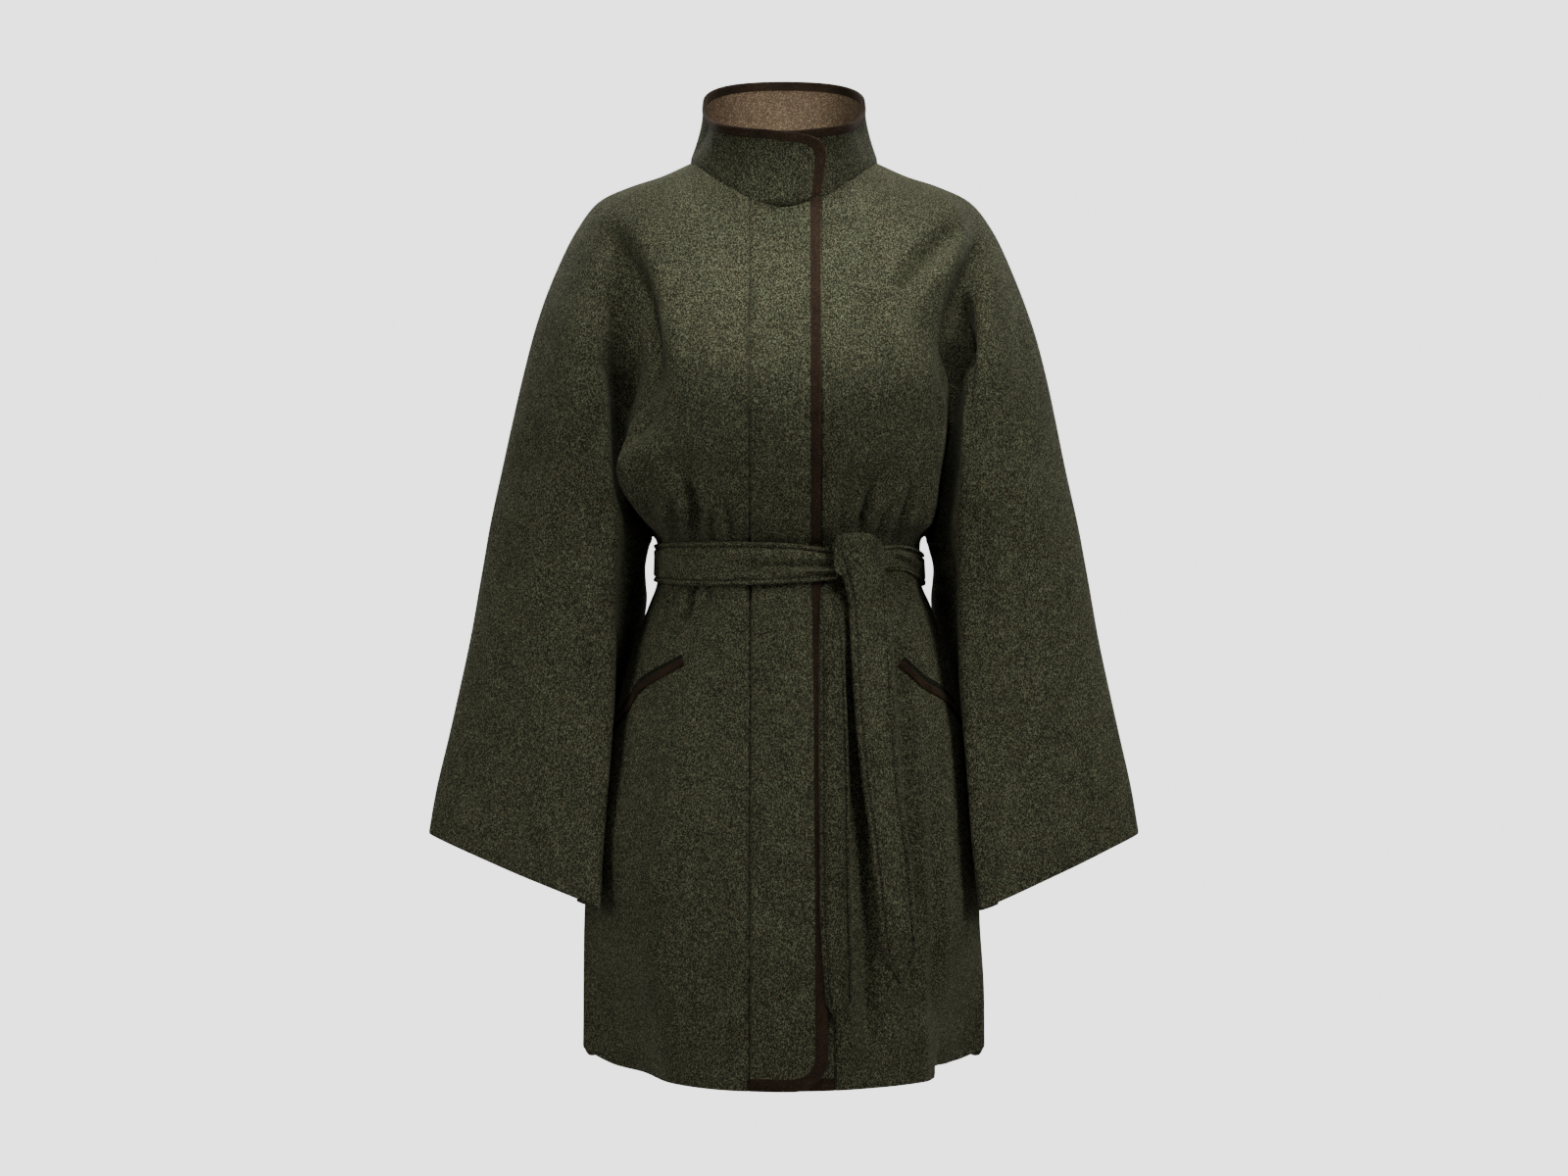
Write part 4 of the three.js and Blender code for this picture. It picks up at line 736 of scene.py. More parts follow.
def roundedEdge(edgeX, v, inward):
    height = curveAt(quarters["front", viewerLeft]["mid"], v)[..., 2] - bandBottom
    rest = np.where(v <= underarm, 0, np.clip(binding["cornerRadius"] - height, 0, binding["cornerRadius"]))
    inset = binding["cornerRadius"] - np.sqrt(binding["cornerRadius"] ** 2 - rest ** 2)
    return edgeX + inward * inset


cornerTop = float(levelAt(bandBottom + binding["cornerRadius"]))
placketV = rowsOf(0, panelGrid["upperRows"] + panelGrid["bodyRows"])
placketV = np.concatenate([placketV[placketV < cornerTop - 0.05],
                           levelAt(bandBottom + binding["cornerRadius"] * np.array(
                               [1, 0.8, 0.6, 0.45, 0.3, 0.18, 0.08, 0.02, 0]))])


def placketPiece(name, over, material):
    shares = np.concatenate([[0, 0.013, 0.042], np.linspace(0.042, 1, 19)[1:-1], [0.985, 1]])
    v = placketV
    if over:
        start = np.full(len(v), placket["overSeamX"] + cloth["seamGap"] / 2)
        end = roundedEdge(overEdge(v), v, -1)
    else:
        start = seamX(viewerRight, v) - cloth["seamGap"] / 2
        end = roundedEdge(underEdge(v), v, 1)
    x = start[:, None] + (end - start)[:, None] * shares[None]
    lift = overLift(x) if over else -underSink(x)
    sinks = np.zeros(x.shape)
    sinks[:, 0], sinks[:, 1] = -cloth["seamSink"], -cloth["seamSink"] * cloth["seamFall"]
    return shell(name, [frontAt(x, v[:, None], lift)], cloth["wall"], over, material, [sinks])


# Suede binding: path entries hold the cloth's edge, the bar's outer edge, both levels and the width.
def bindingPath(edgeAt, endX, outward, liftAt):
    v = placketV[placketV < cornerTop - 0.01]
    v = np.sort(np.concatenate([v, (v[1:] + v[:-1]) / 2]))
    width = mix(binding["width"], binding["hemWidth"], hemShare(v))
    edge = edgeAt(v)
    rows = [np.stack([edge, edge + outward * width, v, v, width], axis=1)]
    radius = binding["cornerRadius"]
    centreX = float(edgeAt(np.array([float(hemRow)]))[0]) - outward * radius
    centreZ = bandBottom + radius
    angle = np.radians(np.linspace(0, 90, 25))
    reach = radius + binding["hemWidth"]
    rows.append(np.stack([centreX + outward * radius * np.cos(angle),
                          centreX + outward * reach * np.cos(angle),
                          levelAt(centreZ - radius * np.sin(angle)),
                          levelAt(centreZ - reach * np.sin(angle)),
                          np.full(len(angle), binding["hemWidth"])], axis=1))
    x = np.linspace(centreX, endX, 22)[1:]
    full = np.ones(len(x))
    rows.append(np.stack([x, x, full * levelAt(bandBottom), full * hemRow,
                          full * binding["hemWidth"]], axis=1))
    rows = np.concatenate(rows)
    return {"x": rows[:, 0], "outX": rows[:, 1], "v": rows[:, 2], "outV": rows[:, 3], "width": rows[:, 4],
            "lift": liftAt(rows[:, 0]), "outLift": liftAt(rows[:, 1])}


# Section of a bar of folded suede, from its inner edge outward: share of the width and height over the cloth.
def rolled(inner, width, low, high, roll, bulge):
    turns = np.radians(np.linspace(0, 90, 5))
    middle = (low + high) / 2
    half = (high - low) / 2
    top = [[inner, low + 0.1], [inner, high - roll * 0.55], [inner + roll * 0.3, high - roll * 0.12],
           [inner + roll, high], [mix(inner, width, 0.34), high + bulge * 0.55],
           [mix(inner, width, 0.62), high + bulge], [width - roll * 1.9, high + bulge * 0.5]]
    nose = [[width - half + half * math.sin(t), middle + half * math.cos(t)] for t in turns]
    nose += [[width - half + half * math.cos(t), middle - half * math.sin(t)] for t in turns[1:]]
    under = [[width - half * 2.2, low], [mix(inner, width, 0.4), low]]
    return top + nose + under


def rolledFor(width, low, high):
    columns = [rolled(binding["gap"], w, low, high, binding["roll"], binding["bulge"]) for w in width]
    return [(np.array([column[k][0] for column in columns]), columns[0][k][1])
            for k in range(len(columns[0]))]


def bindingBar(name, path, low, high, turned, material):
    points = []
    for out, rise in rolledFor(path["width"], low, high):
        share = out / path["width"]
        points.append(frontAt(mix(path["x"], path["outX"], share), mix(path["v"], path["outV"], share),
                              mix(path["lift"], path["outLift"], share) + rise))
    return bar(name, np.stack(points, axis=1), material, turned=turned)


# Stand collar: a is the turn round the neck in degrees, 0 at the centre front, rising over the viewer's
# left; h runs from the neck seam to the rim.
def turnAtX(x):
    return -np.degrees(np.arcsin(np.asarray(x, dtype=float) / neck["halfWidth"]))


def collarBase(turn, rise):
    lean = 1 - (1 - rise) ** collar["flare"]
    near = np.where(turn > 180, turn - 360, turn)
    upright = 1 + collar["frontStraight"] * lean * ease((60 - np.abs(near)) / 35)
    angle = np.radians(near * upright)
    inFront = np.abs(near) < 90
    depth = np.where(inFront, mix(neck["front"], collar["rimFront"], lean),
                     mix(neck["back"], collar["rimBack"], lean))
    opened = 1 - np.abs(np.sin(np.radians(near))) ** slopePower
    seamZ = np.where(inFront, -neck["frontDrop"], neck["backRise"]) * opened
    rimZ = (collar["rimMid"] - collar["rimTilt"] * np.cos(angle)
            + collar["rimSide"] * np.sin(angle) ** 2 * ease((np.abs(near) - 60) / 40)
            - collar["endDip"] * ease((12 - turn) / 24))
    return np.stack([-mix(neck["halfWidth"], collar["rimHalfWidth"], lean) * np.sin(angle),
                     -depth * np.cos(angle), mix(seamZ + collar["standOff"], rimZ, rise)], axis=-1)


# soft hollows that cross the collar from seam to rim: turn at the seam and rim, half width in degrees, depth
collarCreases = tableOf("a0 a1 reach depth h0 h1", [
    [80, 62, 5.5, 2.2, 0.05, 0.95],
    [60, 48, 5, -1.0, 0.1, 0.9],
    [34, 40, 6, 0.9, 0.05, 0.8],
    [98, 92, 7, 0.7, 0.05, 0.8],
    [292, 300, 6, 0.9, 0.05, 0.9],
    [318, 312, 5, -0.5, 0.1, 0.9],
    [150, 160, 9, 0.9, 0.05, 0.9],
    [205, 198, 9, 0.8, 0.05, 0.9],
])


def collarAt(a, h, lift=0.0):
    a, h, lift = (np.array(value, dtype=float) for value in np.broadcast_arrays(a, h, lift))
    point = collarBase(a, h)
    across = collarBase(a + 0.5, h) - collarBase(a - 0.5, h)
    up = collarBase(a, np.minimum(1, h + 0.02)) - collarBase(a, np.maximum(0, h - 0.02))
    lap = collar["lift"] * (ease((collar["lapAngle"] - a) / 12) - ease((a - 360 + collar["lapAngle"]) / 12))
    near = np.abs(np.where(a > 180, a - 360, a))
    front = ease((78 - near) / 55)
    belly = np.sin(math.pi * np.clip(h, 0, 1) ** 0.6)
    depth = -front * collar["frontLean"] * np.clip(h, 0, 1) ** 1.3
    depth = depth - mix(collar["sideBulge"], collar["frontBulge"], front) * belly
    for fold in collarCreases:
        away = (a - mix(fold["a0"], fold["a1"], h)) / fold["reach"]
        span = ease((h - fold["h0"]) / 0.25) * ease((fold["h1"] - h) / 0.2)
        depth += fold["depth"] * np.exp(-away ** 2) * span
    return point + unit(np.cross(up, across)) * (lift + lap - depth)[..., None]


def collarHeight(a):
    a = np.asarray(a, dtype=float)
    low, high = (collarBase(a, np.full(a.shape, rise)) for rise in (0.0, 1.0))
    return np.linalg.norm(high - low, axis=-1)


def cornerInset(s):
    rest = np.maximum(0, collar["cornerRadius"] - s)
    return collar["cornerRadius"] - np.sqrt(collar["cornerRadius"] ** 2 - rest ** 2)


collarEnd = np.array([0, 0.4, 1, 2, 3.2, 4.6, 6.2, 8, 10, collar["cornerRadius"]])
collarTurns = np.linspace(8, collar["underAngle"], 172)


def collarLayer(name, lift, wall, start, material):
    a = np.concatenate([turnAtX(placket["overEdgeTopX"] - collarEnd), collarTurns])
    s = np.concatenate([collarEnd, np.full(len(collarTurns), collar["cornerRadius"])])
    rises = np.concatenate([[0, 0.03, 0.08], np.linspace(0.08, 1, 15)[1:]])
    rises = start + (1 - start) * rises
    rises[0] -= collar["seamLow"] if lift == 0 else 0
    top = 1 - (binding["width"] + cornerInset(s)) / collarHeight(a)
    grid = collarAt(a[:, None], top[:, None] * rises[None], lift)
    sinks = np.zeros(grid.shape[:2])
    if lift == 0:
        sinks[:, 0], sinks[:, 1] = -collar["seamSink"], -0.6
    return shell(name, [grid], wall, False, material, [sinks])


def collarBindingPiece(name, material):
    low = -collar["wall"] - collar["facingGap"] - collar["facingWall"] - 0.2
    section = rolled(binding["gap"], binding["width"], low, collar["bindingProud"], 1.0, 0.2)
    rings = []
    for a in collarTurns[::-1]:
        height = float(collarHeight(a))
        rings.append(np.array([collarAt(a, 1 - (binding["width"] - out) / height, lift)
                               for out, lift in section]))
    radius = collar["cornerRadius"]
    for turn in np.radians(np.linspace(90, 180, 21)):
        ring = []
        for out, lift in section:
            reach = radius + out
            a = turnAtX(placket["overEdgeTopX"] - radius - reach * math.cos(turn))
            height = float(collarHeight(a))
            belowTop = radius - reach * math.sin(turn)
            ring.append(collarAt(a, (height - binding["width"] - belowTop) / height, lift))
        rings.append(np.array(ring))
    for rise in (0.52, 0.45, 0.38, 0.31, 0.25, 0.18, 0.1, 0.03):
        rings.append(np.array([collarAt(turnAtX(placket["overEdgeTopX"] + out), rise, lift)
                               for out, lift in section]))
    return bar(name, rings, material)


# pocket welts: the suede band's path by u and height, and the facing cloth in its mouth
pocket = {
    "bandWidth": 8.5, "facingWidth": 7, "lift": 0.5, "thickness": 1.5, "facingLow": 0.7,
    viewerLeft: [[2.2, -508], [2.86, -535], [3.16, -556], [3.93, -573], [4.6, -588]],
    viewerRight: [[2.39, -508], [2.72, -533], [3.17, -547], [3.73, -562], [4.6, -588]],
}


def pocketPiece(name, side, near, far, crescent, material, rows=64, across=9):
    path = np.array([[u, z, 0.0] for u, z in pocket[side]])
    t = np.linspace(0, len(path) - 1, rows)
    here, ahead, behind = curveAt(path, t), curveAt(path, t + 0.01), curveAt(path, t - 0.01)

    def at(u, v, lift=0.0):
        return clothAt("front", side, "body", u, v, lift)

    v = levelAt(here[:, 1])
    origin = at(here[:, 0], v)
    tangent = unit(at(ahead[:, 0], levelAt(ahead[:, 1])) - at(behind[:, 0], levelAt(behind[:, 1])))
    alongU = (at(here[:, 0] + 0.01, v) - origin) / 0.01
    alongV = (at(here[:, 0], v + 0.01) - origin) / 0.01
    normal = unit(np.cross(alongU, alongV)) * -side
    up = unit(np.cross(tangent, normal))
    up = up * np.where(up[:, 2:3] < 0, -1, 1)
    share = np.linspace(0, 1, rows)
    full = np.sin(math.pi * (0.18 + 0.64 * share)) if crescent else np.ones(rows)
    low = pocket["facingLow"] if crescent else 0
    columns, lifts = [], []
    for k in np.linspace(0, 1, across):
        away = mix(near, near + (far - near) * full, k)
        u = here[:, 0] + away * np.sum(up * alongU, axis=1) / np.sum(alongU ** 2, axis=1)
        level = v + away * np.sum(up * alongV, axis=1) / np.sum(alongV ** 2, axis=1)
        edge = min(k, 1 - k) * 2
        puff = 0.5 * math.sqrt(1 - (1 - edge) ** 2) if not crescent else -0.3 * (1 - k)
        columns.append(at(u, level, pocket["lift"] + pocket["thickness"] - low))
        lifts.append(np.full(rows, puff - (0.5 if edge == 0 and not crescent else 0)))
    return shell(name, [np.stack(columns, axis=1)], pocket["thickness"], side == viewerRight, material,
                 [np.stack(lifts, axis=1)])


# belt
belt = {"thickness": 3, "clearance": 1, "lap": 4.6, "crown": 0.5, "middle": -408, "slant": 1.2, "rings": 300,
        "stitchIn": 5.2, "stitchDepth": 2.2, "stitchReach": 1.2, "edgeReach": 2.8, "edgeDrop": 3.0,
        "stitchColumns": (5, 21), "stitchProud": 0.25}
tail = {"stitchDepth": 1.6, "crown": 1.5, "sink": 0.2, "narrowBelow": 24, "stitchColumns": (4, 12)}
knot = {"depth": 6.5, "gap": 0.5, "halfHeight": 16, "middle": -404, "places": [49, 55, 64, 74, 84, 93, 99],
        "crest": 0.8, "leftDrop": 2.5, "rightDrop": 5.5}
tailTip = {"overX": 115.5, "overZ": -817, "underX": 51.5, "underZ": -849}
beltFoot = -430
bandLift = belt["clearance"] + belt["thickness"]


# Value of one column between the rows of a table, smooth and without overshoot.
def between(rows, key, at, column):
    down = -1 if rows[0][key] > rows[-1][key] else 1
    keys = np.array([row[key] * down for row in rows], dtype=float)
    values = np.array([row[column] for row in rows], dtype=float)
    slopes = np.diff(values) / np.diff(keys)
    bends = np.empty(len(values))
    bends[0], bends[-1] = slopes[0], slopes[-1]
    product = slopes[:-1] * slopes[1:]
    total = np.where(product > 0, slopes[:-1] + slopes[1:], 1)
    bends[1:-1] = np.where(product > 0, 2 * product / total, 0)
    place = np.clip(np.asarray(at, dtype=float) * down, keys[0], keys[-1])
    i = np.clip(np.searchsorted(keys, place, side="left") - 1, 0, len(keys) - 2)
    span = keys[i + 1] - keys[i]
    s = (place - keys[i]) / span
    return (values[i] * (2 * s ** 3 - 3 * s ** 2 + 1) + bends[i] * span * (s ** 3 - 2 * s ** 2 + s)
            + values[i + 1] * (3 * s ** 2 - 2 * s ** 3) + bends[i + 1] * span * (s ** 3 - s ** 2))


def overLap(x):
    return belt["lap"] * ease((x + 44) / 28) * ease((60 - x) / 16)


def waistAt(turn, z, lift):
    turn, z, lift = (np.array(value, dtype=float) for value in np.broadcast_arrays(turn, z, lift))
    angle = np.radians(turn)
    ring = {column: between(bodyRings, "z", z, column)
            for column in ("sideX", "sideY", "frontY", "backY", "right")}
    far = np.where(np.abs(turn) < 90, ring["frontY"], ring["backY"])
    sideX = ring["sideX"] + np.where(turn > 0, ring["right"], 0)
    out = lift + np.where(np.abs(turn) < 90, overLap(sideX * np.sin(angle)), 0)
    y = mix(ring["sideY"], far + np.sign(far) * out, np.abs(np.cos(angle)))
    return np.stack([(sideX + out) * np.sin(angle), y, z], axis=-1)


# long soft ridges and grooves that run along the belt: turn and share of its height at both ends, half
# width as a share of the height, height of the ridge
beltCreases = tableOf("t0 s0 t1 s1 reach height", [
    [-34, 0.40, 21, 0.30, 0.11, 3.57],
    [-17, 0.56, 22, 0.55, 0.075, -4.2],
    [-3, 0.68, 22, 0.69, 0.07, 2.52],
    [6, 0.82, 22, 0.81, 0.05, -2.52],
    [-66, 0.52, -28, 0.62, 0.10, 1.68],
    [-58, 0.36, -30, 0.44, 0.08, -1.47],
    [44, 0.26, 74, 0.60, 0.13, 3.78],
    [44, 0.46, 72, 0.76, 0.08, -3.78],
    [52, 0.12, 76, 0.36, 0.08, -2.52],
    [96, 0.4, 150, 0.6, 0.12, 2.1],
    [112, 0.56, 158, 0.72, 0.08, -1.68],
    [160, 0.5, 210, 0.35, 0.12, -1.89],
    [-150, 0.4, -100, 0.62, 0.12, 2.1],
])
beltShares = np.array([0, 0.012, 0.04, 0.075, 0.1, 0.12, 0.14, 0.165, 0.2, 0.25, 0.31, 0.37, 0.44, 0.5, 0.56,
                       0.63, 0.69, 0.75, 0.8, 0.835, 0.86, 0.88, 0.9, 0.925, 0.96, 0.988, 1])


# stitch lines of the belt's pieces, filled while they are made
thread = {"pitch": 3.6, "length": 2.9, "radius": 0.42, "beltRadius": 0.7, "lift": 0.05, "suedeIn": 1.5,
          "uneven": 0.15}
beltStitchRows = {"belt_band_cloth": [], "belt_tail_over_cloth": [], "belt_tail_under_cloth": []}


def raisedLine(grid, column, lift):
    across = grid[:, column + 1] - grid[:, column - 1]
    return grid[:, column] + unit(np.cross(across, np.gradient(grid[:, column], axis=0))) * lift


# Height of a flat strap over its plain face: rounded edges, sunk stitch lines, crowned middle.
def strapRise(share, width, stitchDepth, crown):
    fromEdge = np.minimum(share, 1 - share) * width
    edge = np.clip(1 - fromEdge / belt["edgeReach"], 0, 1)
    rise = -belt["edgeDrop"] * (1 - np.sqrt(np.maximum(0, 1 - edge ** 2)))
    rise = rise - stitchDepth * np.exp(-(((fromEdge - belt["stitchIn"]) / belt["stitchReach"]) ** 2))
    return rise + crown * np.sin(math.pi * np.clip(share, 0, 1))


def beltBandPiece(name, material):
    turn = np.linspace(-180, 180, belt["rings"] + 1)[:-1]
    top = between(beltEdges, "turn", turn, "top")
    bottom = between(beltEdges, "turn", turn, "bottom")
    columns = []
    for share in beltShares:
        rise = strapRise(np.full(len(turn), share), top - bottom, belt["stitchDepth"], belt["crown"])
        for fold in beltCreases:
            for wrap in (0, 360):
                along = (turn + wrap - fold["t0"]) / (fold["t1"] - fold["t0"])
                away = (share - mix(fold["s0"], fold["s1"], along)) / fold["reach"]
                fade = ease(along / 0.3) * ease((1 - along) / 0.12)
                rise = rise + fold["height"] * np.exp(-away ** 2) * fade
        columns.append(waistAt(turn, mix(top, bottom, share), bandLift + rise))
    for column in belt["stitchColumns"]:
        outward = unit(columns[column] * [1, 1, 0])
        beltStitchRows[name].append(columns[column] + outward * belt["stitchProud"])
    for share in (0.985, 0.75, 0.5, 0.25, 0.015):
        columns.append(waistAt(turn, mix(top, bottom, share), belt["clearance"]))
    return bar(name, np.stack(columns, axis=1), material, loop=True)


def turnOnBand(x):
    low, high = np.zeros(np.shape(x)), np.full(np.shape(x), 89.0)
    for _ in range(24):
        middle = (low + high) / 2
        inside = waistAt(middle, belt["middle"], bandLift)[..., 0] < x
        low, high = np.where(inside, middle, low), np.where(inside, high, middle)
    return (low + high) / 2


def bandFront(x):
    x = np.asarray(x, dtype=float)
    turn = turnOnBand(x)
    return np.min([waistAt(turn, belt["middle"] + dz, bandLift + belt["crown"])[..., 1]
                   for dz in (16, 0, -18)], axis=0)


def skirtFront(x, z):
    x, z = (np.array(value, dtype=float) for value in np.broadcast_arrays(x, z))
    v = levelAt(z)
    flat = x.ravel(), v.ravel()
    lines = linesAt("front", viewerRight, "body", flat[1])
    u = lineAtX("front", viewerRight, "body", *flat)
    y = curveAt(lines[0], u, lines[1], lines[2])[:, 1].reshape(x.shape)
    return y - belt["lap"] * ease((68 - x) / 16) - belt["clearance"] - belt["thickness"]


tailShares = np.array([0, 0.02, 0.06, 0.11, 0.145, 0.18, 0.24, 0.36, 0.5, 0.64, 0.76, 0.82, 0.855, 0.89, 0.94,
                       0.98, 1])


# A tail from its levels: rows hold z, left, right; front gives y by x and z.
def tailPiece(name, rows, tip, wrapRows, front, material):
    z = np.array([row["z"] for row in rows], dtype=float)
    counts = [max(2, round(abs(a - b) / 4.5)) for a, b in zip(z, z[1:])]
    place = spread(list(range(len(rows))), counts)
    numbered = [{"k": k, **row} for k, row in enumerate(rows)]
    left, right, off = (between(numbered, "k", place, column) for column in ("left", "right", "off"))
    level = np.interp(place, np.arange(len(rows)), z)
    toTip = np.linspace(0, 1, 12)[1:]
    toTip[-1] = 0.985
    level = np.concatenate([level, mix(level[-1], tip[1], toTip)])
    left = np.concatenate([left, mix(left[-1], tip[0], toTip)])
    right = np.concatenate([right, mix(right[-1], tip[0], toTip)])
    off = np.concatenate([off, np.full(len(toTip), off[-1])])
    x = left[:, None] + (right - left)[:, None] * tailShares[None]
    y = front(x, level[:, None], off[:, None])
    grid = np.stack([x, y, np.broadcast_to(level[:, None], x.shape)], axis=-1)
    grid = np.concatenate([wrapRows, grid]) if wrapRows is not None else grid
    for column in tail["stitchColumns"]:
        beltStitchRows[name].append(raisedLine(grid, column, thread["lift"])[:-3])
    width = np.linalg.norm(grid[:, -1] - grid[:, 0], axis=1)[:, None]
    lifts = strapRise(np.broadcast_to(tailShares, grid.shape[:2]), width, tail["stitchDepth"], tail["crown"])
    lifts = (lifts - tail["sink"]) * np.clip(width / tail["narrowBelow"], 0, 1)
    return shell(name, [grid], belt["thickness"], True, material, [lifts])


# the face of the upper tail where it lies over the knot
def knotFace(x):
    return bandFront(x) - knot["depth"] - 2 * belt["thickness"] * belt["slant"] - knot["gap"]


def overTailPiece(name, material):
    first = tailOver[0]
    x = first["left"] + (first["right"] - first["left"]) * tailShares
    rear, face = bandFront(x) - knot["gap"], knotFace(x)
    arc = (knot["crest"] * np.sin(math.pi * tailShares)
           - knot["leftDrop"] * np.clip(1 - tailShares / 0.16, 0, 1) ** 2
           - knot["rightDrop"] * np.clip(1 - (1 - tailShares) / 0.26, 0, 1) ** 2)
    anchors = np.stack([np.stack([x, mix(rear, face, row["depth"]), row["z"] + arc], axis=1)
                        for row in tailWrap] + [np.stack([x, face, first["z"] + arc * 0.4], axis=1)])
    after = np.stack([x + 1.5, face, np.full(len(x), first["z"] - 12.0)], axis=1)
    t = spread([0, 1, 2, 3, 4, 5], [6, 4, 5, 5, 5])[:-1]
    wrap = np.stack([curveAt(anchors, np.full(len(x), place), None, after) for place in t])

    def front(x, z, off):
        return mix(knotFace(x), skirtFront(x, z) - off, ease((beltFoot - z) / 60))

    return tailPiece(name, tailOver, (tailTip["overX"], tailTip["overZ"]), wrap, front, material)


def underTailPiece(name, material):
    rows = [{"z": -429.5, "left": 37, "right": 46, "off": 0}] + tailUnder

    def front(x, z, off):
        near = bandFront(x) + cloth["seamGap"] + 0.3
        return mix(near, skirtFront(x, z), ease((-431 - z) / 10))

    return tailPiece(name, rows, (tailTip["underX"], tailTip["underZ"]), None, front, material)


# The knot: a flat band folded over, narrower where it turns under at both ends.
def knotPiece(name, material):
    x = np.linspace(knot["places"][0], knot["places"][-1], 46)
    halfDepth = (knot["depth"] - 2 * knot["gap"]) / 2
    middleY = bandFront(x) - 2 * knot["gap"] - belt["thickness"] * belt["slant"] - halfDepth
    share = (x - x[0]) / (x[-1] - x[0])
    full = 0.62 + 0.38 * np.sin(math.pi * np.clip(np.minimum(share, 1 - share) / 0.16, 0, 1) / 2)
    turns = np.radians(np.linspace(0, 360, 41)[:-1])
    columns = []
    for turn in turns:
        rise = np.sign(math.cos(turn)) * abs(math.cos(turn)) ** 0.55
        out = -np.sign(math.sin(turn)) * abs(math.sin(turn)) ** 0.6
        across = rise * full
        crease = 0.5 * np.sin(across * 9 + share * 2.2) * (0.5 + 0.5 * np.sin(share * 7 + 1)) * (out < -0.5)
        columns.append(np.stack([x, middleY + out * halfDepth * full + crease * 0.5,
                                 knot["middle"] + rise * knot["halfHeight"] * full], axis=1))
    return bar(name, np.stack(columns, axis=1), material, turned=True)


# materials

def nodeAt(tree, kind, x, y, **values):
    node = tree.nodes.new(kind)
    node.location = (x, y)
    for key, value in values.items():
        setattr(node, key, value)
    return node


def socketsOf(group, inputs, outputs):
    for name, kind, value in inputs:
        socket = group.interface.new_socket(name, in_out="INPUT", socket_type=kind)
        if value is not None:
            socket.default_value = value
    for name, kind in outputs:
        group.interface.new_socket(name, in_out="OUTPUT", socket_type=kind)


